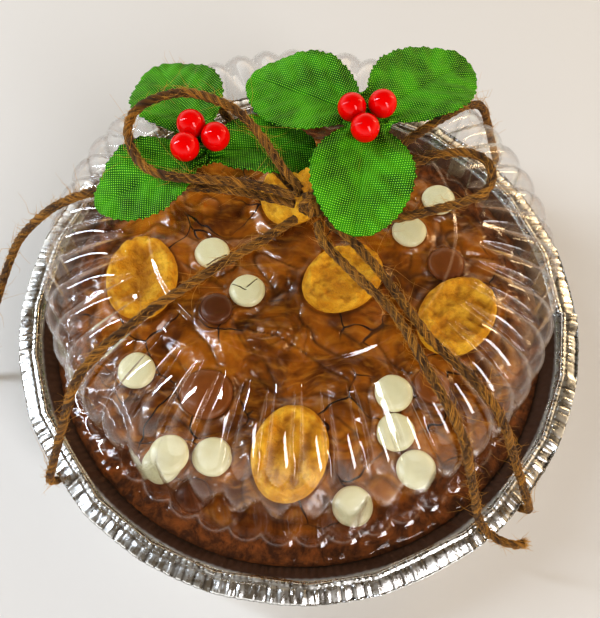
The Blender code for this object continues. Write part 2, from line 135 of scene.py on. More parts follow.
TAIL_LEFT = [
    (-0.0110, 0.0052, 0.1085), (-0.0223, 0.0078, 0.1082), (-0.0338, 0.0088, 0.1081),
    (-0.0436, 0.0088, 0.1080), (-0.0534, 0.0081, 0.1079), (-0.0616, 0.0076, 0.1074),
    (-0.0675, 0.0075, 0.1063), (-0.0720, 0.0076, 0.1045), (-0.0776, 0.0073, 0.1018),
    (-0.0861, 0.0070, 0.0958), (-0.0953, 0.0062, 0.0868), (-0.1031, 0.0050, 0.0775),
    (-0.1095, 0.0020, 0.0675), (-0.1171, -0.0044, 0.0540), (-0.1245, -0.0110, 0.0395),
    (-0.1305, -0.0150, 0.0250), (-0.1345, -0.0180, 0.0120), (-0.1385, -0.0205, 0.0045),
    (-0.1440, -0.0230, 0.0022), (-0.1530, -0.0250, 0.0019),
]
TAIL_RIGHT = [
    (0.0070, -0.0110, 0.1083), (0.0175, -0.0228, 0.1081), (0.0266, -0.0325, 0.1081),
    (0.0312, -0.0395, 0.1081), (0.0356, -0.0484, 0.1078), (0.0398, -0.0562, 0.1064),
    (0.0448, -0.0636, 0.1024), (0.0496, -0.0700, 0.0952), (0.0526, -0.0745, 0.0862),
    (0.0564, -0.0787, 0.0740), (0.0592, -0.0818, 0.0650), (0.0622, -0.0850, 0.0540),
    (0.0668, -0.0883, 0.0450), (0.0721, -0.0912, 0.0419), (0.0771, -0.0926, 0.0414),
    (0.0811, -0.0922, 0.0408),
]
# Plan of each taut strand from the knot to the lid's shoulder, as (x, y)
STRAND_PLANS = {
    -141.0: [(-0.0130, -0.0110), (-0.0270, -0.0212)],
    41.0: [(0.0200, 0.0165), (0.0330, 0.0282)],
    -43.0: [(0.0165, -0.0105), (0.0245, -0.0205), (0.0310, -0.0310), (0.0385, -0.0426)],
    126.0: [(-0.0070, 0.0142), (-0.0190, 0.0275)],
}

# Holly: base x, y, z, heading, rise of the tip, roll (degrees), length, width, phase of its waves
LEAVES = {
    "leaf_left_back": (-0.0365, 0.0288, 0.1130, 117.0, -6.0, 0.0, 0.0365, 0.0325, 0.4),
    "leaf_left_front": (-0.0362, 0.0172, 0.1132, 210.0, -4.0, 0.0, 0.0343, 0.0288, 1.3),
    "leaf_left_inner": (-0.0290, 0.0218, 0.1114, 5.0, 0.0, -5.0, 0.0325, 0.0270, 2.2),
    "leaf_right_back": (0.0160, 0.0356, 0.1152, 155.0, 0.0, 0.0, 0.0380, 0.0355, 0.9),
    "leaf_right_side": (0.0250, 0.0370, 0.1150, 40.0, -4.0, 0.0, 0.0425, 0.0345, 1.9),
    "leaf_right_front": (0.0203, 0.0275, 0.1158, 264.0, 1.0, -5.0, 0.0385, 0.0340, 0.1),
}
LEAF_SHEET = 0.0005
LEAF_ROWS, LEAF_COLUMNS = 120, 37
TOOTH_PITCH, TOOTH_DEPTH = 0.0024, 0.0010
SPRIG_MIDDLES = [(-0.0345, 0.0212, 0.1138), (0.0200, 0.0310, 0.1158)]
STALK_R = 0.00035

# Studio. The camera's angles are in degrees, its lens is in millimetres.
FLOOR_HALF, FLOOR_Z = 3.0, -0.0002
LIGHTS_AIM = (0.0, 0.0, 0.050)
CAMERA_PLACE = (0.0, -0.12385, 0.29935)
CAMERA_ELEVATION, CAMERA_ROLL, CAMERA_LENS = 64.9, 1.44, 42.0


# ---------------------------------------------------------------- noise, lines and meshes

def gradient_noise(x, y, seed, period=256):
    """Smooth noise over x and y, from about -0.7 to 0.7, one unit to a swell. x repeats after a period."""
    angles = np.random.default_rng(seed).uniform(0.0, math.tau, (256, 256))
    x, y = np.broadcast_arrays(np.asarray(x, float), np.asarray(y, float))
    column, row = np.floor(x).astype(int), np.floor(y).astype(int)
    u, v = x - column, y - row

    def corner(i, j):
        angle = angles[(column + i) % period, (row + j) % 256]
        return np.cos(angle) * (u - i) + np.sin(angle) * (v - j)

    fade_u = u ** 3 * (u * (6.0 * u - 15.0) + 10.0)
    fade_v = v ** 3 * (v * (6.0 * v - 15.0) + 10.0)
    near = corner(0, 0) * (1.0 - fade_u) + corner(1, 0) * fade_u
    far = corner(0, 1) * (1.0 - fade_u) + corner(1, 1) * fade_u
    return near * (1.0 - fade_v) + far * fade_v


def plan_noise(x, y, per_metre, seed):
    """Smooth noise over a plan, with this many swells to the metre."""
    return gradient_noise(x * per_metre, y * per_metre, seed)


def ring_noise(turn, count, seed, y=0.0):
    """Smooth noise that goes round in this many swells."""
    return gradient_noise(turn * count / math.tau, y, seed, count)


def smooth_step(low, high, value):
    """0 below low, 1 above high, and smooth between."""
    share = np.clip((value - low) / (high - low), 0.0, 1.0)
    return share * share * (3.0 - 2.0 * share)


def bell(off, width):
    """1 where off is 0, falling away smoothly over this width."""
    return np.exp(-(off / width) ** 2)


def rows_of(*values):
    """Values one below the other, one for each row of points."""
    return np.array(values)[:, None]


def around(steps):
    """Directions in radians, evenly round a turn."""
    return np.arange(steps) * math.tau / steps


def unit(vector):
    """Vector of length 1."""
    return vector / np.linalg.norm(vector)


def polar(centre, reach, degrees):
    """Point at a distance from a centre in some direction."""
    turn = math.radians(degrees)
    return centre[0] + reach * math.cos(turn), centre[1] + reach * math.sin(turn)


def walked(line):
    """Length along a line to each of its points."""
    return np.concatenate([[0.0], np.cumsum(np.linalg.norm(np.diff(line, axis=0), axis=1))])


def cord_length(line):
    """Length of a line of points."""
    return float(np.linalg.norm(np.diff(line, axis=0), axis=1).sum())


def even_line(fine, spacing):
    """Points at an even spacing along a line of close points."""
    along = walked(fine)
    wanted = np.linspace(0.0, along[-1], max(2, round(along[-1] / spacing)) + 1)
    return np.stack([np.interp(wanted, along, fine[:, axis]) for axis in range(fine.shape[1])], axis=-1)


def smooth_line(points, spacing):
    """Even points on a smooth curve through points, as an array."""
    nodes = np.array(points, float)
    ends = np.vstack([2 * nodes[0] - nodes[1], nodes, 2 * nodes[-1] - nodes[-2]])
    fine = []
    steps = np.arange(16)[:, None] / 16
    for a, b, c, d in zip(ends, ends[1:], ends[2:], ends[3:]):
        fine.append(0.5 * (2 * b + (c - a) * steps + (2 * a - 5 * b + 4 * c - d) * steps ** 2
                           + (3 * b - a - 3 * c + d) * steps ** 3))
    return even_line(np.vstack(fine + [nodes[-1:]]), spacing)


def rounded_line(points, spacing, blur):
    """Even points along straight runs whose corners are rounded over a length of blur."""
    line = even_line(np.array(points, float), spacing)
    span = max(1, int(blur / spacing / 2))
    for _ in range(2):
        padded = np.vstack([np.repeat(line[:1], span, axis=0), line, np.repeat(line[-1:], span, axis=0)])
        sums = np.cumsum(np.vstack([np.zeros((1, 3)), padded]), axis=0)
        line = (sums[2 * span + 1:] - sums[:-2 * span - 1]) / (2 * span + 1)
    return even_line(line, spacing)


def line_frames(line):
    """Tangent and two steady crosswise directions at each point of a line."""
    tangents = np.gradient(line, axis=0)
    tangents /= np.linalg.norm(tangents, axis=1)[:, None]
    sideways = np.cross(tangents[0], (0.0, 0.0, 1.0) if abs(tangents[0][2]) < 0.9 else (1.0, 0.0, 0.0))
    first = []
    for tangent in tangents:
        sideways = unit(sideways - tangent * np.dot(sideways, tangent))
        first.append(sideways)
    first = np.array(first)
    return tangents, first, np.cross(tangents, first)


def in_scene(name, data):
    """Object of the scene that shows a mesh, light or camera."""
    obj = bpy.data.objects.new(name, data)
    bpy.context.scene.collection.objects.link(obj)
    return obj


def mesh_piece(name, points, faces, material, replaces=()):
    """Smooth mesh object that rides on the part, with its faces turned outwards."""
    mesh = bpy.data.meshes.new(name)
    mesh.from_pydata(points, [], faces)
    bm = bmesh.new()
    bm.from_mesh(mesh)
    bmesh.ops.recalc_face_normals(bm, faces=bm.faces)
    bm.to_mesh(mesh)
    bm.free()
    mesh.shade_smooth()
    mesh.materials.append(material)
    obj = in_scene(name, mesh)
    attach(obj, BODY)
    if replaces:
        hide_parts(*replaces)
    return obj


def write_value(obj, name, per_point):
    """Attribute that holds a value for each point of a piece."""
    attribute = obj.data.attributes.new(name, "FLOAT", "POINT")
    attribute.data.foreach_set("value", np.asarray(per_point, np.float32).reshape(-1))


def write_uv(obj, name, per_point):
    """UV map from a value for each point."""
    corners = np.zeros(len(obj.data.loops), int)
    obj.data.loops.foreach_get("vertex_index", corners)
    layer = obj.data.uv_layers.new(name=name)
    layer.data.foreach_set("uv", per_point[corners].astype(np.float32).reshape(-1))


def grid_faces(rows, columns, closed_round=True):
    """Four-sided faces between rows of a grid of points, numbered row by row."""
    index = np.arange(rows * columns).reshape(rows, columns)
    across = np.roll(index, -1, axis=1) if closed_round else index[:, 1:]
    here = index if closed_round else index[:, :-1]
    return np.stack([here[:-1], across[:-1], across[1:], here[1:]], axis=-1).reshape(-1, 4)


def turned_faces(rows, columns):
    """Faces of a turned grid whose first and last rows are single points, and which points they use."""
    number = np.arange(rows * columns)
    number[:columns] = 0
    number[-columns:] = number[-1] - columns + 1
    used, renumber = np.unique(number, return_inverse=True)
    faces = []
    for face in renumber[grid_faces(rows, columns)].tolist():
        faces.append([corner for i, corner in enumerate(face) if corner != face[i - 1]])
    return used, faces


def turned_points(radius, height, directions):
    """Points at radius and height, given as (rows, steps) or (rows, 1), round the Z axis."""
    radius, height, turn = np.broadcast_arrays(radius, height, directions)
    return np.stack([radius * np.cos(turn), radius * np.sin(turn), height], axis=-1)


def turned_piece(name, points, material, replaces, values=None):
    """Closed turned piece from rows of points. The first and last rows lie at the axis."""
    rows, columns, _ = points.shape
    used, faces = turned_faces(rows, columns)
    obj = mesh_piece(name, points.reshape(-1, 3)[used], faces, material, replaces)
    for value_name, value in (values or {}).items():
        write_value(obj, value_name, value.reshape(-1)[used])
    return obj


def tube_piece(name, line, angle, thick, material, replaces=(), order=1):
    """Tube round a line of close points, closed at both ends, with one radius or one for each point.

    An order of -1 lists each face's corners backwards.
    """
    _, first, second = line_frames(line)
    out = np.cos(angle)[..., None] * first[:, None, :] + np.sin(angle)[..., None] * second[:, None, :]
    points = line[:, None, :] + np.asarray(thick)[..., None] * out
    rows, sides, _ = points.shape
    faces = grid_faces(rows, sides)[:, ::order].tolist()
    faces.append(list(range(sides)))
    faces.append([(rows - 1) * sides + side for side in reversed(range(sides))])
    return mesh_piece(name, points.reshape(-1, 3), faces, material, replaces)


# ---------------------------------------------------------------- materials

class Look:
    """Node tree of a material or a world, whose calls add a node and return its output.

    A value that a call takes is a number, a colour, or another node's output to link.
    """

    def __init__(self, tree):
        self.tree = tree

    def feed(self, socket, value):
        """Set or link one socket. This call adds nothing."""
        if isinstance(value, bpy.types.NodeSocket):
            self.tree.links.new(value, socket)
        else:
            socket.default_value = (*value, 1.0) if socket.type == "RGBA" else value

    def add(self, kind, sockets, output=0, **settings):
        """Any shader node."""
        made = self.tree.nodes.new("ShaderNode" + kind)
        for name, value in settings.items():
            setattr(made, name, value)
        for name, value in sockets.items():
            self.feed(made.inputs[name], value)
        return made.outputs[output]

    def calc(self, operation, first, second=0.0, third=0.0):
        """Sum, product or the like."""
        return self.add("Math", {0: first, 1: second, 2: third}, operation=operation)

    def blend(self, share, first, second):
        """Mix of two colours."""
        return self.add("Mix", {"Factor": share, 6: first, 7: second}, 2, data_type="RGBA")

    def ramp(self, value, low, high, to_low=0.0, to_high=1.0):
        """A value taken smoothly from one range to another."""
        sockets = {"Value": value, "From Min": low, "From Max": high, "To Min": to_low, "To Max": to_high}
        return self.add("MapRange", sockets, interpolation_type="SMOOTHSTEP")


class Finish(Look):
    """Material with one Principled BSDF, whose constants and inputs are named as the shader's sockets."""

    def __init__(self, name, **constants):
        self.material = bpy.data.materials.new(name)
        self.material.use_nodes = True
        super().__init__(self.material.node_tree)
        self.shader = self.tree.nodes["Principled BSDF"]
        self.place = self.add("TexCoord", {}, "Object")
        self.done(**constants)

    def noise(self, scale, detail=3.0, roughness=0.5, at=None, output=0):
        """Noise texture at a place, which is the piece's own unless given."""
        at = self.place if at is None else at
        sockets = {"Vector": at, "Scale": scale, "Detail": detail, "Roughness": roughness}
        return self.add("TexNoise", sockets, output)

    def cells(self, scale, at):
        """Distance to the nearest edge between cells of a Voronoi texture."""
        return self.add("TexVoronoi", {"Vector": at, "Scale": scale}, feature="DISTANCE_TO_EDGE")

    def stretched(self, at, scale):
        """Place scaled by a different amount along each axis."""
        return self.add("Mapping", {"Vector": at, "Scale": scale})

    def value(self, name):
        """Value written on the piece's points."""
        return self.add("Attribute", {}, "Fac", attribute_name=name)

    def bump(self, height, distance, strength):
        """Normal from a height."""
        return self.add("Bump", {"Height": height, "Distance": distance, "Strength": strength})

    def done(self, **inputs):
        """Feed the shader and return the material."""
        for socket, value in inputs.items():
            self.feed(self.shader.inputs[socket.replace("_", " ")], value)
        return self.material


def foil_material():
    """Bright crinkled aluminium foil, with painted shade between its pleats, and brown with crumb and fat
    from the oven, a brown that also stands in for the shade in the gap under the rim.
    """
    look = Finish("foil")
    baked_on_and_gap_shade = look.value("baked_on_and_gap_shade")
    bright = look.blend(look.noise(60.0, 2.0), (0.88, 0.88, 0.87), (0.72, 0.72, 0.70))
    # Painted shade: the foil is darkened where the rim's pleats fold down
    bright = look.blend(look.calc("MULTIPLY", look.value("painted_pleat_shade"), 0.85), bright, (0.200, 0.175, 0.150))
    gloss = look.ramp(look.noise(380.0), 0.3, 0.7, 0.20, 0.36)
    crinkle = look.calc("MULTIPLY", look.cells(420.0, look.place), 0.6)
    return look.done(
        # Brown of crumb stuck on in the oven, which also paints the shade in the gap between the cake and the
        # rim
        Base_Color=look.blend(baked_on_and_gap_shade, bright, (0.085, 0.034, 0.016)),
        Metallic=look.calc("SUBTRACT", 1.0, baked_on_and_gap_shade),
        Roughness=look.calc("MULTIPLY_ADD", baked_on_and_gap_shade, 0.4, gloss),
        Normal=look.bump(look.calc("ADD", crinkle, look.noise(900.0, 2.0)), 0.00012, 0.8),
    )


def lid_material():
    """Thin clear plastic: see-through, with a gloss that grows at grazing angles."""
    look = Finish("clear_plastic", Metallic=1.0, Roughness=0.005, Base_Color=(1.0, 1.0, 1.0))
    grazing = look.calc("POWER", look.add("LayerWeight", {"Blend": 0.5}, "Facing"), 5.0)
    gloss = look.calc("MULTIPLY_ADD", grazing, 0.66, 0.043)
    clear = look.add("BsdfTransparent", {"Color": (0.985, 0.988, 0.99)})
    mixed = look.add("MixShader", {"Fac": gloss, 1: clear, 2: look.shader.outputs[0]})
    look.feed(look.tree.nodes["Material Output"].inputs["Surface"], mixed)
    return look.done(Normal=look.bump(look.noise(90.0, 1.0), 0.0003, 0.15))


def cake_material():
    """Glossy milk-chocolate coating, creased and finely cracked, with painted shade in its creases and round
    the toppings, and crumbly dark cake where it ends.
    """
    look = Finish("brownie", Specular_IOR_Level=0.26, Coat_Weight=0.80, Coat_Roughness=0.10)
    crease, bare = look.value("crease"), look.value("bare")
    flow = look.noise(38.0, 2.0, output="Color")
    shift = {0: flow, 1: (0.022, 0.022, 0.022), 2: look.place}
    warped = look.add("VectorMath", shift, operation="MULTIPLY_ADD")
    warm = look.ramp(look.noise(60.0, 3.0, 0.6, warped), 0.34, 0.68)
    coat = look.blend(warm, (0.130, 0.035, 0.002), (0.460, 0.160, 0.010))
    smear = look.ramp(look.noise(110.0, at=look.stretched(warped, (1.0, 3.0, 1.0))), 0.45, 0.75)
    coat = look.blend(look.calc("MULTIPLY", smear, 0.5), coat, (0.640, 0.300, 0.040))
    rare = look.ramp(look.noise(30.0, 2.0), 0.49, 0.60)
    crack = look.calc("MULTIPLY", look.ramp(look.cells(52.0, warped), 0.006, 0.028, 1.0, 0.0), rare)
    # Painted shade in the creases, and dark cracks
    dark = look.calc("MAXIMUM", look.calc("MULTIPLY", crease, 0.66), crack)
    coat = look.blend(dark, coat, (0.030, 0.008, 0.003))
    crumb = look.ramp(look.noise(190.0, 6.0, 0.7, warped), 0.34, 0.70)
    cake = look.blend(crumb, (0.075, 0.021, 0.005), (0.320, 0.105, 0.022))
    grit = look.calc("MULTIPLY", look.noise(640.0, 5.0, 0.65), look.calc("ADD", bare, 0.04))
    height = look.calc("MULTIPLY_ADD", look.noise(330.0, 3.0, 0.6, warped), 0.55, grit)
    return look.done(
        Base_Color=look.blend(bare, coat, cake),
        Roughness=look.ramp(bare, 0.0, 1.0, 0.27, 0.85),
        Normal=look.bump(look.calc("MULTIPLY_ADD", crack, -0.7, height), 0.0008, 0.75),
    )


def tan_material():
    """Tan confection with a slightly pitted, faintly shiny surface, and painted shade that darkens its
    hollows.
    """
    look = Finish("tan_confection", Roughness=0.45, Specular_IOR_Level=0.3)
    patch = look.ramp(look.noise(170.0), 0.35, 0.7)
    colour = look.blend(patch, (0.735, 0.350, 0.017), (0.960, 0.580, 0.060))
    fleck = look.ramp(look.noise(520.0, 3.0, 0.6), 0.56, 0.70)
    colour = look.blend(look.calc("MULTIPLY", fleck, 0.22), colour, (0.270, 0.100, 0.010))
    lumps = look.calc("MULTIPLY_ADD", look.noise(420.0, 2.0), 1.6, look.noise(1100.0, 3.0, 0.6))
    return look.done(
        # Painted shade in the hollows
        Base_Color=look.blend(look.value("painted_hollow_shade"), colour, (0.480, 0.205, 0.012)),
        Normal=look.bump(lumps, 0.0010, 0.75),
    )


def disc_material(name, dark, light):
    """Moulded chocolate disc, dark in its cracks."""
    look = Finish(name, Roughness=0.36, Coat_Weight=0.2, Coat_Roughness=0.2)
    whole = look.blend(look.noise(220.0), dark, light)
    crack = look.ramp(look.value("crack"), 0.35, 0.85)
    return look.done(
        Base_Color=look.blend(crack, whole, (0.085, 0.045, 0.014)),
        Normal=look.bump(look.noise(700.0, 2.0), 0.0003, 0.3),
    )


def leaf_material():
    """Coated woven cloth: green, with a painted sheen on the crowns of its threads."""
    look = Finish("leaf_fabric", Specular_IOR_Level=0.28)
    cloth = look.add("UVMap", {}, uv_map="cloth")
    waves = []
    for axis, pitch in (("X", 0.00098), ("Y", 0.00112)):
        thread = look.add("SeparateXYZ", {"Vector": cloth}, axis)
        waves.append(look.calc("SINE", look.calc("MULTIPLY", thread, math.tau / pitch)))
    weave = look.calc("MULTIPLY", *waves)
    # Painted sheen: the crowns of the threads are lighter and glossier
    painted_crown_sheen = look.ramp(weave, 0.35, 0.80)
    patch = look.ramp(look.noise(90.0, 2.0, at=cloth), 0.3, 0.7)
    green = look.blend(patch, (0.005, 0.068, 0.001), (0.052, 0.300, 0.003))
    return look.done(
        Base_Color=look.blend(painted_crown_sheen, green, (0.420, 0.900, 0.070)),
        Roughness=look.ramp(painted_crown_sheen, 0.0, 1.0, 0.55, 0.30),
        Normal=look.bump(weave, 0.00016, 0.8),
    )


def twine_material():
    """Jute: golden-brown fibres that run along each ply, with painted shade between the plies."""
    look = Finish("twine", Roughness=0.72, Sheen_Weight=0.08, Sheen_Roughness=0.5)
    lay = look.add("UVMap", {}, uv_map="lay")
    fibre = look.ramp(look.noise(1.0, 3.0, 0.6, look.stretched(lay, (180.0, 9.0, 1.0))), 0.3, 0.72)
    patch = look.ramp(look.noise(1.0, 2.0, at=look.stretched(lay, (40.0, 0.4, 1.0))), 0.35, 0.65)
    brown = look.blend(fibre, (0.080, 0.028, 0.003), (0.680, 0.335, 0.042))
    worn = look.blend(patch, brown, (0.110, 0.046, 0.006))
    return look.done(
        # Painted shade between the plies
        Base_Color=look.blend(look.value("painted_groove_shade"), worn, (0.022, 0.008, 0.002)),
        Normal=look.bump(fibre, 0.0003, 0.8),
    )


def mottled_material(name, dark, light, scale=150.0, detail=3.0, **constants):
    """Plain finish that is mottled between two near colours."""
    look = Finish(name, **constants)
    return look.done(Base_Color=look.blend(look.noise(scale, detail), dark, light))


FOIL = foil_material()
CLEAR = lid_material()
CAKE = cake_material()
TAN = tan_material()
WHITE_CHOCOLATE = disc_material("white_chocolate", (0.730, 0.685, 0.420), (0.840, 0.805, 0.570))
DARK_CHOCOLATE = disc_material("dark_chocolate", (0.105, 0.029, 0.006), (0.170, 0.052, 0.012))
MILK_CHOCOLATE = disc_material("milk_chocolate", (0.205, 0.064, 0.011), (0.310, 0.104, 0.018))
LEAF_CLOTH = leaf_material()
BERRY_RED = mottled_material("berry", (0.600, 0.0005, 0.0005), (0.760, 0.001, 0.001), 120.0, 2.0,
                             Roughness=0.07, Specular_IOR_Level=0.36)
TWINE = twine_material()
FUZZ = mottled_material("twine_fuzz", (0.496, 0.264, 0.048), (0.620, 0.330, 0.060), Roughness=0.6)
STALK = mottled_material("holly_stalk", (0.240, 0.264, 0.096), (0.300, 0.330, 0.120), Roughness=0.6)
FLOOR = mottled_material("floor", (0.705, 0.688, 0.660), (0.730, 0.714, 0.688), 8.0, 4.0, Roughness=0.7)


# ---------------------------------------------------------------- twine

def twine_piece(name, line, seed, replaces, radius=TWINE_R):
    """Twisted twine of three plies along a line of close points."""
    along = walked(line)[:, None]
    angle = around(TWINE_SIDES)
    twist = math.tau * along / PLY_PITCH
    ply = np.abs(np.cos(1.5 * (angle - twist)))
    ragged = gradient_noise(along * 900.0, angle * 2.0 / math.tau * 3.0, seed)
    thick = radius * (0.60 + 0.38 * ply ** 0.70) * (1.0 + 0.12 * ragged)
    thick *= 1.0 + 0.06 * gradient_noise(along * 120.0, 0.0, seed + 1)
    obj = tube_piece(name, line, angle, thick, TWINE, replaces, -1)
    # Painted shade in the grooves between the plies
    write_value(obj, "painted_groove_shade", 0.85 * (1.0 - smooth_step(0.12, 0.55, ply)))
    lay = np.stack(np.broadcast_arrays(along, (angle - twist) * 3.0 / math.tau), axis=-1)
    write_uv(obj, "lay", lay.reshape(-1, 2))
    return obj


def hair_piece(name, hairs):
    """Fine curved fibres, each a three-sided tapered tube, from its (root, direction, bend, length)."""
    points, faces = [], []
    tube = grid_faces(HAIR_JOINTS, 3)
    for root, direction, bend, length in hairs:
        side = np.cross(direction, bend)
        side /= np.linalg.norm(side) + 1e-9
        other = np.cross(direction, side)
        base, last = len(points), len(points) + 3 * HAIR_JOINTS - 1
        for share in np.linspace(0.0, 1.0, HAIR_JOINTS):
            centre = root + length * (direction * share + bend * share ** 2 * HAIR_BEND
                                      + side * 0.12 * math.sin(5.0 * share + length * 900.0))
            thin = HAIR_R * (1.0 - 0.75 * share)
            for turn in around(3):
                x, y, z = centre + thin * (math.cos(turn) * side + math.sin(turn) * other)
                points.append((x, y, max(z, HAIR_LOW_Z)))
        faces += (tube + base).tolist()
        faces += [[base + 2, base + 1, base], [last - 2, last - 1, last]]
    return mesh_piece(name, points, faces, FUZZ)


def fuzz_piece(name, line, seed, shy=0.0):
    """Loose fibres that stand off twine. Below a height of shy, or down towards the lid, none grow."""
    rng = np.random.default_rng(seed)
    tangents, first, second = line_frames(line)
    hairs = []
    for _ in range(int(cord_length(line) * HAIRS_PER_METRE)):
        place = rng.integers(1, len(line) - 1)
        turn = rng.uniform(0.0, math.tau)
        out = math.cos(turn) * first[place] + math.sin(turn) * second[place]
        is_long = rng.random() < 0.09
        lean = rng.uniform(0.25, 1.1) if is_long else rng.uniform(0.12, 0.6)
        direction = unit(tangents[place] * rng.choice((-1.0, 1.0)) + out * lean)
        reach = rng.uniform(0.005, 0.014) if is_long else rng.uniform(0.0012, 0.0042)
        bend = unit(rng.normal(size=3))
        root = line[place] + out * TWINE_R * HAIR_ROOT
        tip = root + reach * (direction + bend * HAIR_BEND)
        if out[2] >= -0.35 and tip[2] >= root[2] - 0.0025 and root[2] >= shy:
            hairs.append((root, direction, bend, reach))
    return hair_piece(name, hairs)


def frayed_end(name, line, seed):
    """Brush of fibres at a cut end of twine."""
    rng = np.random.default_rng(seed)
    tangent, first, second = (directions[-1] for directions in line_frames(line))
    hairs = []
    for _ in range(170):
        turn, share = rng.uniform(0.0, math.tau), math.sqrt(rng.random())
        out = math.cos(turn) * first + math.sin(turn) * second
        direction = unit(tangent + out * share * rng.uniform(0.1, 0.8))
        bend = unit(rng.normal(size=3)) * 0.6
        root = line[-1] + out * TWINE_R * HAIR_ROOT * share - tangent * 0.0008
        hairs.append((root, direction, bend, rng.uniform(0.0010, 0.0034)))
    return hair_piece(name, hairs)


def knot_side(exit_name):
    """Point just off the knot where a strand leaves it."""
    heading, height = EXITS[exit_name]
    return (*polar(KNOT, KNOT_R + 2 * GAP, heading), height)


def make_free_cord(part, route, first, last, seed):
    """Free loop or tail of the bow, with its fuzz."""
    name = "bow_" + part
    ends = [knot_side(last)] if last else []
    line = smooth_line([knot_side(first)] + route + ends, TWINE_SPACING)
    cord = twine_piece(name, line, seed, ["twine_" + part])
    riders = [fuzz_piece(name + "_fuzz", line, seed + 50)]
    if not last:
        riders.append(frayed_end(name + "_end", line, seed + 80))


def strand(direction):
    """Taut strand from the knot over the lid's shoulder and the rim to the pan's foot."""
    points = [knot_side(direction)] + [(x, y, WRAP_Z) for x, y in STRAND_PLANS[direction]]
    start_r = math.hypot(*points[-1][:2])
    start_direction = math.degrees(math.atan2(points[-1][1], points[-1][0]))
    swing = (direction - start_direction + 180.0) % 360.0 - 180.0
    over_shoulder = SHOULDER_R + TWINE_R + GAP + SOLID_HALF + WRAP_CLEAR
    rim = RIM_R + SOLID_HALF + GAP + TWINE_R + WRAP_CLEAR
    side = [(FLUTE_START_R - 0.001, WRAP_Z - 0.0002)]
    side += [polar(SHOULDER_CENTRE, over_shoulder, angle) for angle in (68.0, 46.0, 26.0)]
    side += [(rim - 0.0012, 0.0406), (rim, 0.0376), (rim - 0.0004, 0.0345), (rim - 0.0026, 0.0316)]
    side += [(FOOT_OUT + 0.0048, 0.0042), (FOOT_OUT + 0.0006, 0.0020), (FOOT_IN - 0.0030, 0.0020)]
    for radius, height in side:
        share = (radius - start_r) / (rim - start_r) if height > 0.0380 else 1.0
        turn = math.radians(start_direction + swing * share)
        points.append((radius * math.cos(turn), radius * math.sin(turn), height))
    return points


def make_wrap(number, first, second, middle_z, seed):
    """Twine from one side of the knot, round under the pan and back to the knot's other side."""
    down, up = np.array(strand(first)), np.array(strand(second))
    middle = (down[-1] + up[-1]) / 2
    towards = unit(down[-1] - middle)
    bottom = [middle + towards * reach for reach in (0.0140, 0.0030, -0.0030, -0.0140)]
    for point, height in zip(bottom, (down[-1][2], middle_z, middle_z, down[-1][2])):
        point[2] = height
    line = rounded_line(np.vstack([down, bottom, up[::-1]]), TWINE_SPACING, 0.0035)
    twine_piece(f"parcel_wrap_{number}", line, seed, [f"twine_wrap_{number}"])
    fuzz_piece(f"parcel_wrap_{number}_fuzz", line, seed + 50, shy=0.02)


def make_knot():
    """Knot of the bow: turns of twine crossed over each other."""
    turn = around(56)
    for number, (across, tall, heading, tilt, lift) in enumerate(KNOT_TURNS):
        ring = np.stack([across * np.cos(turn), 0.0 * turn, tall * np.sin(turn)], axis=-1)
        pose = Matrix.Rotation(math.radians(heading), 3, "Z") @ Matrix.Rotation(math.radians(tilt), 3, "X")
        ring = ring @ np.array(pose).T + np.array(KNOT) + (0.0, 0.0, lift)
        line = even_line(np.vstack([ring, ring[:2]]), TWINE_SPACING)
        twine_piece(f"knot_turn_{number + 1}", line, 400 + number, ["twine_knot"], TWINE_R * 0.98)
        fuzz_piece(f"knot_turn_{number + 1}_fuzz", line, 430 + number)


make_free_cord("loop_left", LOOP_LEFT, "loop_left_out", "loop_left_back", 301)
make_free_cord("loop_right", LOOP_RIGHT, "loop_right_out", "loop_right_back", 302)
make_free_cord("tail_left", TAIL_LEFT, "tail_left", None, 303)
make_free_cord("tail_right", TAIL_RIGHT, "tail_right", None, 304)
make_wrap(1, -141.0, 41.0, 0.0020, 305)
make_wrap(2, -43.0, 126.0, 0.0058, 306)
make_knot()


# ---------------------------------------------------------------- foil pan

def facets(directions, seed, count=24):
    """Straight stretches round the rim: how far each chord cuts in, as a share, and each stretch's level."""
    rng = np.random.default_rng(seed)
    corners = (np.arange(count) + rng.uniform(-0.32, 0.32, count)) * math.tau / count
    levels = rng.normal(size=count)
    stretch = np.searchsorted(corners, directions)
    ends = np.concatenate([corners, [corners[0] + math.tau]])
    starts = np.concatenate([[corners[-1] - math.tau], corners])
    middle = (starts + ends)[stretch] / 2
    half = (ends - starts)[stretch] / 2
    share = np.abs(directions - middle) / half
    level = levels[stretch % count] * (1.0 - smooth_step(0.80, 1.0, share))
    return np.cos(half) / np.cos(directions - middle), level


def pleats(directions, seed, count):
    """Radial folds with sharp ridges and valleys, unevenly spaced, from -1 to 1."""
    rng = np.random.default_rng(seed)
    corners = np.sort((np.arange(count) + rng.uniform(-0.42, 0.42, count)) * math.tau / count)
    heights = rng.uniform(0.15, 1.0, count) ** 1.3 * np.where(np.arange(count) % 2, 1.0, -1.0)
    return np.interp(directions, corners, heights, period=math.tau)


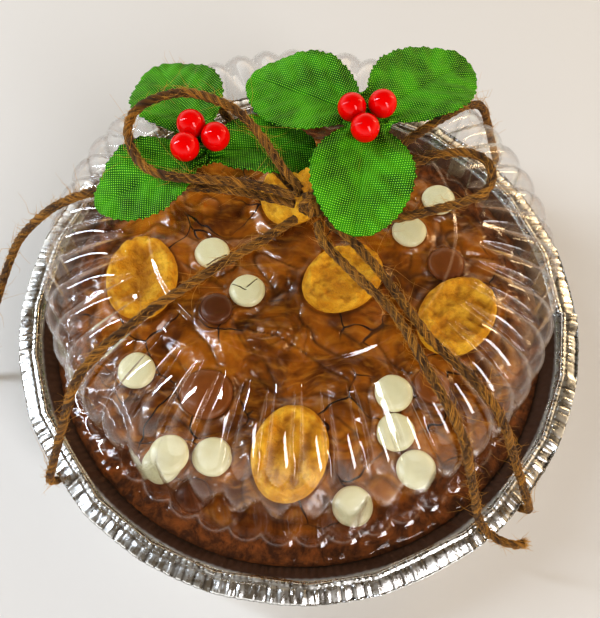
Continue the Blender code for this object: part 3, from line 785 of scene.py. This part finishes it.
def make_rim():
    """Folded rim of the foil pan: an outer band and a narrower inner bead, finely pleated."""
    turn = around(RIM_STEPS)
    chord, level = facets(turn, 11)
    # Share of the way across the band, from its inner edge to its outer edge
    top = np.linspace(0.0, 1.0, 15)[:, None]
    skew = 0.016 * ring_noise(turn, 60, 20, 9.0) * (top - 0.4)
    outer = pleats(turn + skew, 21, 380)
    fine = pleats(turn - 2.0 * skew, 26, 700)
    inner = pleats(turn, 22, 620)
    busy = smooth_step(-0.35, 0.25, ring_noise(turn, 38, 27, top * 1.2))
    long_wave = ring_noise(turn, 40, 23)
    crease = 0.29 + 0.04 * ring_noise(turn, 20, 24, 3.0)
    bead = np.sin(math.pi * np.clip(top / crease, 0.0, 1.0)) ** 0.6
    outer_share = np.clip((top - crease) / (1.0 - crease), 0.0, 1.0)
    on_band = smooth_step(0.0, 0.12, outer_share)
    height = 0.00070 * bead + 0.00050 * on_band + 0.00022 * np.sin(math.pi * outer_share)
    height += 0.00018 * inner * bead
    height += (0.00026 * outer + 0.00017 * fine) * on_band * (0.25 + 0.75 * busy)
    height += (0.00070 * level + 0.00050 * long_wave) * (top - 0.25)
    cut = 1.0 - (1.0 - chord) * (1.0 - 0.65 * top)
    radius = (RIM_INNER_R + 0.0004 + (RIM_R - RIM_INNER_R - 0.0004) * top) * cut
    radius += (0.00012 * outer + 0.0004 * long_wave) * top
    # Then round the outer edge, under the band, and back inside the fold
    edge_pleat, edge_cut = outer[-1:], cut[-1:]
    fold_r = (rows_of(0.0006, 0.0009, 0.0006, 0.0) + RIM_R - 0.0006) * edge_cut
    loop = np.concatenate([
        turned_points(radius, RIM_TOP_Z - 0.0009 + height - 0.0009 * top ** 2, turn),
        turned_points(fold_r + 0.00015 * edge_pleat + 0.0004 * long_wave,
                      rows_of(0.0376, 0.0366, 0.0357, 0.0349), turn),
        turned_points(rows_of(0.1115, 0.1080, 0.1056) * edge_cut,
                      rows_of(0.0348, 0.0348, 0.0346) + 0.00012 * edge_pleat, turn),
        turned_points(rows_of(0.1056, 0.1075, 0.1115, 0.1130, 0.1120, 0.1075) * edge_cut,
                      rows_of(0.0349, 0.0352, 0.0353, 0.0366, 0.0374, 0.0374), turn),
    ])
    rows = len(loop)
    faces = grid_faces(rows + 1, RIM_STEPS) % (rows * RIM_STEPS)
    rim = mesh_piece("foil_rim", loop.reshape(-1, 3), faces.tolist(), FOIL, ["foil_pan"])
    # Painted shade darkens the bottoms of the pleats, and evenly the rest of the rim below its top
    valley = np.clip(-1.6 * (inner * bead + (0.6 * outer + 0.6 * fine) * on_band), 0.0, 1.0)
    write_value(rim, "painted_pleat_shade", np.concatenate([valley, np.full((rows - len(top), RIM_STEPS), 0.3)]))


def foot_dent(turn, radius):
    """Height by which the foot is raised where the twine runs under it."""
    off = np.min([np.abs((np.degrees(turn) - direction + 180.0) % 360.0 - 180.0)
                  for direction in STRAND_PLANS], axis=0)
    lift = FOOT_LIFT * np.clip((12.0 - off) / 6.0, 0.0, 1.0)
    on_foot = np.clip(1.0 - (np.abs(radius - FOOT_MIDDLE_R) - 0.0025) / 0.0035, 0.0, 1.0)
    return on_foot * lift


def make_pan_body():
    """Pan below its rim: a flat panel with a dimple, a foot ring and a flared wall with flutes."""
    turn = around(WALL_FLUTES * 4)
    flute = np.cos(turn * WALL_FLUTES)
    crinkle = ring_noise(turn, 70, 31)
    profile = [(0.0, DIMPLE_Z), (0.0040, DIMPLE_Z), (DIMPLE_IN, DIMPLE_Z), (0.0150, 0.0066)]
    profile += [(radius, PANEL_Z) for radius in (DIMPLE_OUT, 0.0300, 0.0450, 0.0600, 0.0755)]
    profile += [(0.0775, 0.0027), (FOOT_IN, 0.0005), (0.0820, 0.0002), (FOOT_OUT, 0.0006)]
    for share in np.linspace(0.04, 1.0, 8):
        profile.append((FOOT_OUT + (WALL_TOP_R - FOOT_OUT) * share, 0.0006 + 0.0333 * share))
    profile += [(0.1052, 0.0347), (0.1060, 0.0348), (0.1075, 0.0348)]
    profile = np.array(profile)
    radius, height = profile[:, :1], profile[:, 1:]
    on_wall = smooth_step(FOOT_OUT, 0.0880, radius) * (1.0 - smooth_step(WALL_TOP_R, 0.1060, radius))
    radius_out = radius + on_wall * (0.00030 * flute + 0.00050 * crinkle)
    dent = foot_dent(turn, radius)
    outside = turned_points(radius_out, height + dent, turn)
    inside = turned_points(radius_out - 0.00015, height + 0.00018 + dent, turn)
    inside[0, :, :2] = outside[0, :, :2] = 0.0
    points = np.concatenate([inside, outside[::-1]])
    # Crumb and fat stuck on inside in the oven, up to the ledge under the rim; their dark brown also paints
    # the shade in the gap between the cake and the rim
    reach = 0.1062 + 0.0005 * ring_noise(turn, 60, 32)
    baked_on_and_gap_shade = 1.0 - smooth_step(reach - 0.0006, reach, radius)
    values = {"baked_on_and_gap_shade": np.concatenate([baked_on_and_gap_shade, 0.0 * baked_on_and_gap_shade])[:, ::-1]}
    turned_piece("foil_body", points[:, ::-1], FOIL, ["foil_pan"], values)


make_rim()
make_pan_body()


# ---------------------------------------------------------------- clear lid

def lid_line():
    """Lid's outer side as (radius, height) points from the middle of its top to the flange's edge."""
    top = [(radius, LID_TOP_Z + RING_RISE) for radius in (0.0, 0.022, 0.044)]
    for share in np.linspace(0.0, 1.0, 6):
        fallen = smooth_step(0.0, 1.0, share)
        top.append((RING_R - 0.0008 + 0.0016 * share, LID_TOP_Z + RING_RISE * (1.0 - fallen)))
    corner = [(0.0540, LID_TOP_Z), (0.0580, LID_TOP_Z)]
    corner += [polar(SHOULDER_CENTRE, SHOULDER_R, angle) for angle in (75.0, 50.0, 27.0, 5.0)]
    corner += [(0.0921, 0.0610), (0.0935, 0.0440)]
    foot = [(0.0938, 0.0400), (0.0941, 0.0384), (0.0948, 0.0373)]
    foot += [(radius, LID_FLANGE_Z) for radius in (0.0962, 0.0968, 0.1115, LID_FLANGE_R)]
    return np.vstack([top, smooth_line(corner, 0.0022), foot])


def make_lid():
    """Clear lid: an embossed ring on its flat top, and rounded flutes parted by flat-floored channels."""
    # Half a flute's columns, as shares of its width, lie closer together at the channel
    half = np.array([0.0, 0.085, 0.105, 0.135, 0.170, 0.230, 0.310, 0.400])
    within = np.concatenate([half, [0.5], 1.0 - half[:0:-1]])
    turn = ((np.arange(FLUTES)[:, None] + within) * math.tau / FLUTES).reshape(-1)
    line = lid_line()
    radius, height = line[:, :1], line[:, 1:]
    along = walked(line)[:, None]
    past = along - np.interp(FLUTE_START_R, line[:, 0], along[:, 0])
    normal = np.gradient(line, axis=0)
    normal = np.stack([-normal[:, 1], normal[:, 0]], axis=-1)
    normal /= np.linalg.norm(normal, axis=1)[:, None]
    # Angle off the middle of the nearest channel, in flutes, and the channel's half width there
    off = np.abs((turn * FLUTES / math.tau + 0.5) % 1.0 - 0.5)
    channel = CHANNEL_HALF * (1.0 - 0.85 * smooth_step(0.6 * CHANNEL_L, CHANNEL_L, past))
    lobes = 1.0 - np.abs(np.sin(np.maximum(off, channel) * math.pi)) ** 0.9
    deep = 0.0022 * smooth_step(0.0, 0.016, past) + 0.0014 * smooth_step(0.030, 0.055, past)
    lobes = deep * smooth_step(0.0366, 0.0392, height) * lobes
    share = np.clip(past / CHANNEL_L, 0.0, 1.0)
    floor = 0.0022 * share + CHANNEL_SAG * 4.0 * share * (1.0 - share)
    in_channel = (1.0 - smooth_step(channel, channel + 0.065, off)) * (past > 0.0) * (past < CHANNEL_L)
    depth = lobes + (floor - lobes) * in_channel
    sides = []
    for inwards in (depth, depth + LID_SHEET):
        side = turned_points(radius - normal[:, :1] * inwards, height - normal[:, 1:] * inwards, turn)
        side[0, :, :2] = 0.0
        sides.append(side)
    points = np.concatenate([sides[0], sides[1][::-1]])
    turned_piece("lid_shell", points, CLEAR, ["clear_lid"])


make_lid()


# ---------------------------------------------------------------- brownie and its toppings

def topping_spot(node):
    """A topping's place, from its CAD node: middle, base, height, half length, half width and heading."""
    low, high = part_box(node)
    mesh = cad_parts[node].data
    points = np.zeros(len(mesh.vertices) * 3)
    mesh.vertices.foreach_get("co", points)
    points = points.reshape(-1, 3)
    centre = (points.max(axis=0) + points.min(axis=0))[:2] / 2
    flat = points[:, :2] - centre
    heading = 0.0
    if "oval" in node:
        _, vectors = np.linalg.eigh(flat.T @ flat)
        heading = math.atan2(vectors[1, -1], vectors[0, -1])
    cos, sin = math.cos(heading), math.sin(heading)
    half_length, half_width = np.abs(flat @ np.array([[cos, -sin], [sin, cos]])).max(axis=0)
    return {"x": centre[0], "y": centre[1], "z": low[2], "tall": high[2] - low[2],
            "long": half_length, "wide": half_width, "cos": cos, "sin": sin}


def topping_spots(kind, count):
    """Places of all the toppings of a kind."""
    return [topping_spot(f"{kind}_{number}") for number in range(1, count + 1)]


OVALS = topping_spots("tan_oval", 5)
BROWN_DISCS = topping_spots("brown_disc", 5)
WHITE_DISCS = topping_spots("white_disc", 12)


def share_of_topping(spot, x, y):
    """How far points lie from a topping's middle, as a share of the way to its edge."""
    x, y = x - spot["x"], y - spot["y"]
    u = x * spot["cos"] + y * spot["sin"]
    v = -x * spot["sin"] + y * spot["cos"]
    return np.hypot(u / spot["long"], v / spot["wide"])


def coating(x, y):
    """Height of the coating above the brownie's even top, and how much painted shade darkens its creases."""
    px = x + 0.012 * plan_noise(x, y, 36.0, 51)
    py = y + 0.012 * plan_noise(x, y, 36.0, 52)
    swells = plan_noise(px, py, 46.0, 57)
    folds = np.abs(plan_noise(px, py, 58.0, 53))
    wrinkles = np.abs(gradient_noise(px * 150.0, py * 110.0, 55))
    ripples = gradient_noise(px * 330.0, py * 150.0, 56) + 0.5 * plan_noise(x, y, 420.0, 58)
    wrinkled = smooth_step(-0.15, 0.30, plan_noise(x, y, 40.0, 59))
    height = 0.0015 * swells + 0.0016 * np.minimum(folds * 2.8, 1.0) ** 0.8
    height = height + 0.0009 * wrinkled * np.minimum(wrinkles * 2.4, 1.0) + 0.00022 * ripples
    # Painted shade along the folds and wrinkles
    crease = 0.8 * np.maximum(1.0 - folds * 13.0, 0.0)
    crease += 0.5 * wrinkled * np.maximum(1.0 - wrinkles * 9.0, 0.0)
    return height - 0.0017, np.clip(crease, 0.0, 1.0)


def cake_top(x, y):
    """Height, painted crease shade and bareness of the brownie's top at points in plan."""
    radius, direction = np.hypot(x, y), np.arctan2(y, x)
    reach = np.minimum(radius / CAKE_EDGE_R, 1.0)
    swell = 0.0011 * np.sin(3.0 * direction + 0.6 + 9.0 * reach) * np.sin(math.pi * reach)
    swell += 0.0008 * np.sin(5.0 * direction - 14.0 * reach) * reach
    height = CAKE_TOP_Z + swell * (1.0 - reach ** 4) - (CAKE_TOP_Z - CAKE_EDGE_Z) * reach ** 6
    fold, crease = coating(x, y)
    border = 0.0885 + 0.0060 * ring_noise(direction, 9, 61) + 0.0022 * ring_noise(direction, 34, 62, 2.0)
    bare = smooth_step(border - 0.0012, border + 0.0022, radius)
    crumb = 0.0007 * plan_noise(x, y, 230.0, 63) + 0.0004 * plan_noise(x, y, 520.0, 64)
    detail = fold * (1.0 - bare) + (crumb - 0.0011) * bare
    for spot in OVALS + BROWN_DISCS + WHITE_DISCS:
        share = share_of_topping(spot, x, y)
        near = 1.0 - smooth_step(1.0, 1.35, share)
        under = spot["z"] + 0.0005 - height
        detail = detail * (1.0 - near) + np.minimum(under, 0.0012) * near
        # Painted shadow: a dark ring round the foot of each topping
        crease = np.maximum(crease * (1.0 - 0.6 * near), 0.8 * bell(share - 1.01, 0.05))
    return height + detail, crease, bare


def make_cake():
    """Brownie: a folded and cracked coating, a bare crumbly edge and a wall printed by the pan's flutes."""
    turn = around(CAKE_STEPS)
    ring = np.concatenate([np.linspace(0.0, 0.9985, 98), [0.9985 + 0.0015 * 0.6, 1.0]])
    printed = smooth_step(-0.25, 0.35, ring_noise(turn, 22, 66, 4.0))
    ridge = (0.5 + 0.5 * np.cos(turn * 160.0)) * printed
    edge = CAKE_EDGE_R - 0.0002 + 0.0003 * ring_noise(turn, 30, 65) + 0.0003 * ridge
    radius = edge * ring[:, None]
    height, crease, bare = cake_top(radius * np.cos(turn), radius * np.sin(turn))
    height = height - 0.0010 * np.clip((radius - (edge - 0.0015)) / 0.0015, 0.0, 1.0) ** 2
    down = np.linspace(0.10, 1.0, 8)[:, None]
    wall_z = height[-1] * (1.0 - down) + CAKE_BASE_Z * down
    wall_r = edge * (1.0 - down) + (CAKE_BASE_R - 0.0004) * down
    base_r = rows_of(0.0600, 0.0400, DIMPLE_OUT, DIMPLE_IN, 0.0)
    base_z = rows_of(CAKE_BASE_Z, CAKE_BASE_Z, CAKE_BASE_Z, 0.0096, 0.0096)
    pairs = ((radius, height), (wall_r, wall_z), (base_r, base_z))
    points = np.concatenate([turned_points(*pair, turn) for pair in pairs])
    below = np.zeros((len(down) + len(base_r), CAKE_STEPS))
    # The crease values carry the painted shade
    values = {"crease": np.vstack([crease, below]), "bare": np.vstack([bare, below + 1.0])}
    turned_piece("brownie_cake", points, CAKE, ["brownie"], values)


def topping_rows(spot, rings, steps, profile):
    """Rows of a topping before its surface is worked: directions, shares of the way out, and own points."""
    turn = around(steps)
    fine, coarse = np.linspace(0.0, 1.0, rings), np.linspace(0.0, 1.0, len(profile))
    shares = np.interp(fine, coarse, [share for share, _ in profile])[:, None] + 0 * turn
    height = np.interp(fine, coarse, [spot["tall"] * rise for _, rise in profile])[:, None] + 0 * turn
    u, v = shares * np.cos(turn) * spot["long"], shares * np.sin(turn) * spot["wide"]
    return turn, shares, u, v, height


def settle(spot, u, v, height):
    """Put a topping's own points in place on the brownie."""
    x = spot["x"] + u * spot["cos"] - v * spot["sin"]
    return np.stack([x, spot["y"] + u * spot["sin"] + v * spot["cos"], spot["z"] + height], axis=-1)


def make_disc(name, node, spot, material, seed, cracks=()):
    """Chocolate disc: a flat-topped drop with a soft edge, some with a crack."""
    rings, steps = (44, 110) if cracks else (26, 56)
    turn, shares, u, v, height = topping_rows(spot, rings, steps, DISC_PROFILE)
    wobble = 1.0 + 0.060 * ring_noise(turn, 5, seed, np.random.default_rng(seed).uniform(0, 9))
    wobble = np.minimum(wobble + 0.025 * ring_noise(turn, 13, seed + 1, 3.0), 1.03)
    u, v = u * wobble * 0.99, v * wobble * 0.99
    on_top = smooth_step(0.3 * spot["tall"], 0.8 * spot["tall"], height)
    height += on_top * 0.00022 * gradient_noise(u * 240.0 + seed, v * 240.0, seed + 2)
    height -= on_top * 0.00012 * bell(shares - 0.80, 0.05)
    cracked = 0.0 * height
    for heading, offset, low, high in cracks:
        line = u * math.sin(heading) - v * math.cos(heading) - offset
        line += 0.0004 * plan_noise(u, v, 420.0, seed + 4)
        on_line = u * math.cos(heading) + v * math.sin(heading)
        within = smooth_step(low - 0.0006, low, on_line)
        within *= 1.0 - smooth_step(high, high + 0.0006, on_line)
        cracked = np.maximum(cracked, on_top * within * bell(line, CRACK_WIDTH))
    height = height - CRACK_DEPTH * cracked
    turned_piece(name, settle(spot, u, v, height), material, [node], {"crack": cracked})


def oval_relief(number, u, v, share):
    """Height, and painted shade for the hollows, worked into the top of each tan oval, which are all
    different.
    """
    bumps = 0.0012 * gradient_noise(u * 230.0 + 3.0 * number, v * 230.0, 70 + number)
    bumps += 0.0008 * plan_noise(u, v, 480.0, 80 + number)
    ragged = 0.5 + 0.9 * gradient_noise(u * 110.0, v * 110.0 + number, 90 + number)
    relief = bumps * (0.45 + 0.55 * smooth_step(0.45, 0.75, share))
    relief += 0.0009 * bell(share - 0.80, 0.13) * ragged
    # Painted shade: darker in the dished middle and in the low places of the bumps, and below in the valley,
    # spokes and ridges
    painted_hollow_shade = 0.26 * (1.0 - smooth_step(0.30, 0.78, share)) + 0.55 * np.clip(-bumps / 0.0005, 0.0, 1.0)
    if number == 1:
        valley = bell(v + 0.0010 - 14.0 * u * u, 0.0032) * (1.0 - smooth_step(0.55, 0.85, share))
        relief -= 0.0012 * valley
        painted_hollow_shade += 0.55 * valley
    if number == 3:
        spokes = np.cos(u * 1450.0 + 1.5) * smooth_step(-0.0020, 0.0030, -v)
        spokes = spokes * (1.0 - smooth_step(0.92, 1.0, share)) * smooth_step(0.15, 0.5, share)
        ridge = bell(v - 0.0022 + 0.0020 * np.sin(u * 160.0), 0.0016)
        ridge *= 1.0 - smooth_step(0.6, 0.95, share)
        relief = relief + 0.0005 * spokes + 0.0010 * ridge
        painted_hollow_shade += 0.30 * np.maximum(0.0, -spokes)
    if number == 4:
        ridges = np.cos((v + 0.0012 * np.sin(u * 190.0)) * 620.0) * (1.0 - smooth_step(0.70, 0.95, share))
        relief += 0.0008 * ridges
        painted_hollow_shade += 0.60 * np.maximum(0.0, -ridges) ** 1.5
    return relief, np.minimum(painted_hollow_shade, 1.0)


def make_oval(number, spot):
    """Tan oval: a raised uneven rim round a dished middle."""
    turn, shares, u, v, height = topping_rows(spot, 54, 120, OVAL_PROFILE)
    wobble = 1.0 - 0.02 + 0.030 * ring_noise(turn, 7, 100 + number, 1.0)
    u, v = u * wobble, v * wobble
    on_top = smooth_step(0.35 * spot["tall"], 0.70 * spot["tall"], height)
    relief, painted_hollow_shade = oval_relief(number, u, v, shares)
    height = height + on_top * (1.4 * relief - 0.0004)
    side = (1.0 - on_top) * smooth_step(0.5, 0.95, shares)
    out = 1.0 + 0.012 * side * ring_noise(turn, 40, 110 + number, height * 700.0)
    turned_piece(f"confection_oval_{number}", settle(spot, u * out, v * out, height), TAN,
                 [f"tan_oval_{number}"], {"painted_hollow_shade": painted_hollow_shade * on_top})


make_cake()
for number, spot in enumerate(OVALS, 1):
    make_oval(number, spot)
for number, spot in enumerate(BROWN_DISCS, 1):
    chocolate = DARK_CHOCOLATE if number in (1, 4) else MILK_CHOCOLATE
    make_disc(f"chocolate_disc_{number}", f"brown_disc_{number}", spot, chocolate,
              120 + number)
for number, spot in enumerate(WHITE_DISCS, 1):
    make_disc(f"white_chip_{number}", f"white_disc_{number}", spot, WHITE_CHOCOLATE,
              140 + number, CRACKS.get(number, ()))


# ---------------------------------------------------------------- holly

def leaf_half_width(along):
    """Half width of a holly leaf as a share of its width, from its stalk at 0 to its tip at 1."""
    return 0.5 * np.sin(math.pi * (0.06 + 0.89 * along) ** 0.95) ** 0.62


def leaf_pose(x, y, z, heading, rise, roll):
    """Matrix that puts a leaf in place."""
    return (Matrix.Translation((x, y, z)) @ Matrix.Rotation(math.radians(heading), 4, "Z")
            @ Matrix.Rotation(math.radians(-rise), 4, "Y") @ Matrix.Rotation(math.radians(roll), 4, "X"))


def sheet_faces(rows, columns):
    """Faces of a sheet whose upper points come first and whose lower ones follow, with its border closed."""
    upper = grid_faces(rows, columns, closed_round=False)
    count = rows * columns
    index = np.arange(count).reshape(rows, columns)
    border = np.concatenate([index[0, :-1], index[:-1, -1], index[-1, :0:-1], index[:0:-1, 0]])
    following = np.roll(border, -1)
    edge = np.stack([border, following, following + count, border + count], axis=-1)
    return np.vstack([upper, upper[:, ::-1] + count, edge]).tolist()


def make_leaf(node, x, y, z, heading, rise, roll, length, width, phase):
    """Woven leaf with a pinked edge, a crease down its middle and soft side veins."""
    seed = sum(ord(letter) for letter in node)
    along = np.linspace(-0.17, 1.0, LEAF_ROWS)[:, None]
    across = np.linspace(-1.0, 1.0, LEAF_COLUMNS)[None, :]
    # Half width with its gathered base, then with its teeth, set by the length walked along the edge
    base = 0.23 * smooth_step(-0.20, -0.08, along) * (1.0 - smooth_step(0.0, 0.30, along))
    half = np.maximum(leaf_half_width(np.maximum(along, 0.0)) * (along >= 0.0), base) * width
    steps = np.hypot(np.diff(half[:, 0]), np.diff(along[:, 0]) * length)
    edge = np.concatenate([[0.0], np.cumsum(steps)])
    teeth = np.abs((edge / TOOTH_PITCH + 0.15 * np.sin(edge * 900.0)) % 1.0 - 0.35)[:, None]
    ragged = gradient_noise(edge[:, None] * 700.0, across * 2.0, seed) * 0.0003
    pinked = half - TOOTH_DEPTH * (1.0 - 1.4 * teeth) + 0.0004 + ragged * np.abs(across) ** 8
    v = across * pinked
    tip = smooth_step(0.93, 1.0, along) * (1.0 - np.abs(across) ** 2) * 0.0010
    u = along * length + 0.0 * across + tip
    crease = 0.0030 * np.abs(across) ** 1.2 * np.sin(math.pi * np.clip(along + 0.15, 0.0, 1.0))
    wave = 0.0009 * across * np.sin(6.0 * along + phase)
    droop = -0.0022 * along ** 2
    fold = 0.00035 * gradient_noise(u * 120.0, v * 120.0 + phase, seed + 1)
    vein = 0.00028 * np.cos((u - 0.9 * np.abs(v)) * math.tau / 0.0072)
    vein *= smooth_step(0.05, 0.35, np.abs(across))
    midrib = -0.00050 * bell(v, 0.0007)
    gathered = 0.00075 * np.cos(across * 3.2 * math.pi + phase) * (1.0 - smooth_step(-0.05, 0.32, along))
    w = crease + wave + droop + fold + vein + midrib + gathered
    sides = [np.stack([u, v, w + lift], axis=-1).reshape(-1, 3) for lift in (LEAF_SHEET / 2, -LEAF_SHEET / 2)]
    points = np.vstack(sides)
    faces = sheet_faces(LEAF_ROWS, LEAF_COLUMNS)
    obj = mesh_piece(node.replace("leaf", "holly"), points, faces, LEAF_CLOTH, [node])
    turn = 0.6 + 0.5 * math.sin(phase * 3.0)
    turned = np.array([[math.cos(turn), -math.sin(turn)], [math.sin(turn), math.cos(turn)]])
    write_uv(obj, "cloth", points[:, :2] @ turned)
    obj.data.transform(leaf_pose(x, y, z, heading, rise, roll))


def make_berry(number):
    """Red berry with a small dimple where its stalk goes in, and the stalk."""
    low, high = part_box(f"berry_{number}")
    centre = np.array((low + high) / 2)
    radius = (high[2] - low[2]) / 2
    tilt = np.linspace(0.0, math.pi, 26)[:, None]
    turn = around(40)
    size = radius * (1.0 - 0.10 * bell(tilt - math.pi, 0.22))
    size = size * (1.0 + 0.012 * ring_noise(turn, 4, 200 + number, tilt * 1.5))
    points = turned_points(size * np.sin(tilt), size * np.cos(tilt), turn) + centre
    points[0, :, :2] = points[-1, :, :2] = centre[:2]
    turned_piece(f"holly_berry_{number}", points, BERRY_RED, [f"berry_{number}"])
    middle = np.array(SPRIG_MIDDLES[0 if number <= 3 else 1])
    foot = centre - (0.0, 0.0, radius * 0.93)
    bend = (foot + middle) / 2 + np.array((0.0, 0.0, -0.0006))
    line = smooth_line([foot, bend, middle], TWINE_SPACING)
    tube_piece(f"holly_stalk_{number}", line, around(8), STALK_R, STALK)


for node, sizes in LEAVES.items():
    make_leaf(node, *sizes)
for number in range(1, 7):
    make_berry(number)


# ---------------------------------------------------------------- studio

def make_floor():
    """Plain pale floor."""
    mesh = bpy.data.meshes.new("floor")
    corners = [(x * FLOOR_HALF, y * FLOOR_HALF, FLOOR_Z) for x, y in ((-1, -1), (1, -1), (1, 1), (-1, 1))]
    mesh.from_pydata(corners, [], [(0, 1, 2, 3)])
    mesh.materials.append(FLOOR)
    in_scene("floor", mesh)


def area_light(name, place, size, power, colour):
    """Soft rectangular light, aimed at the cake."""
    data = bpy.data.lights.new(name, "AREA")
    data.shape = "RECTANGLE"
    data.size, data.size_y = size
    data.energy = power
    data.color = colour
    light = in_scene(name, data)
    light.location = place
    light.rotation_euler = (Vector(LIGHTS_AIM) - Vector(place)).to_track_quat("-Z", "Y").to_euler()


def make_world():
    """Dim ceiling over bright surroundings, cool at the left and warm at the right."""
    world = bpy.data.worlds.new("studio")
    world.use_nodes = True
    bpy.context.scene.world = world
    look = Look(world.node_tree)
    outwards = look.add("TexCoord", {}, "Generated")
    x, y, z = (look.add("SeparateXYZ", {"Vector": outwards}, axis) for axis in "XYZ")
    share = look.ramp(look.calc("MULTIPLY_ADD", y, 0.35, x), -0.25, 0.80)
    walls = look.blend(share, (0.87, 0.87, 0.85), (0.86, 0.70, 0.50))
    room = look.blend(look.ramp(z, 0.12, 0.80), walls, (0.080, 0.062, 0.042))
    background = world.node_tree.nodes["Background"]
    look.feed(background.inputs["Color"], room)
    background.inputs["Strength"].default_value = 1.50


def make_camera():
    """Camera above and in front, looking down at the lid."""
    elevation, roll = math.radians(CAMERA_ELEVATION), math.radians(CAMERA_ROLL)
    forward = Vector((0.0, math.cos(elevation), -math.sin(elevation)))
    right = Vector((1.0, 0.0, 0.0))
    up = right.cross(forward)
    across = math.cos(roll) * right + math.sin(roll) * up
    upright = math.cos(roll) * up - math.sin(roll) * right
    data = bpy.data.cameras.new("camera")
    data.sensor_fit = "HORIZONTAL"
    data.sensor_width = 36.0
    data.lens = CAMERA_LENS
    data.clip_start = 0.01
    camera = in_scene("camera", data)
    pose = Matrix((across, upright, -forward)).transposed().to_4x4()
    pose.translation = CAMERA_PLACE
    camera.matrix_world = pose
    bpy.context.scene.camera = camera


make_floor()
make_world()
area_light("window", (-0.969, 0.171, 0.876), (0.070, 1.12), 8.1, (0.77, 0.87, 1.0))
area_light("front window", (0.600, -0.720, 0.770), (0.24, 0.86), 5.6, (0.92, 0.92, 0.96))
area_light("right window", (0.996, 0.647, 0.579), (0.050, 0.75), 1.8, (1.0, 0.74, 0.44))
make_camera()
bpy.context.scene.view_settings.view_transform = "Standard"
bpy.context.scene.view_settings.look = "High Contrast"
bpy.context.scene.cycles.transparent_max_bounces = 24
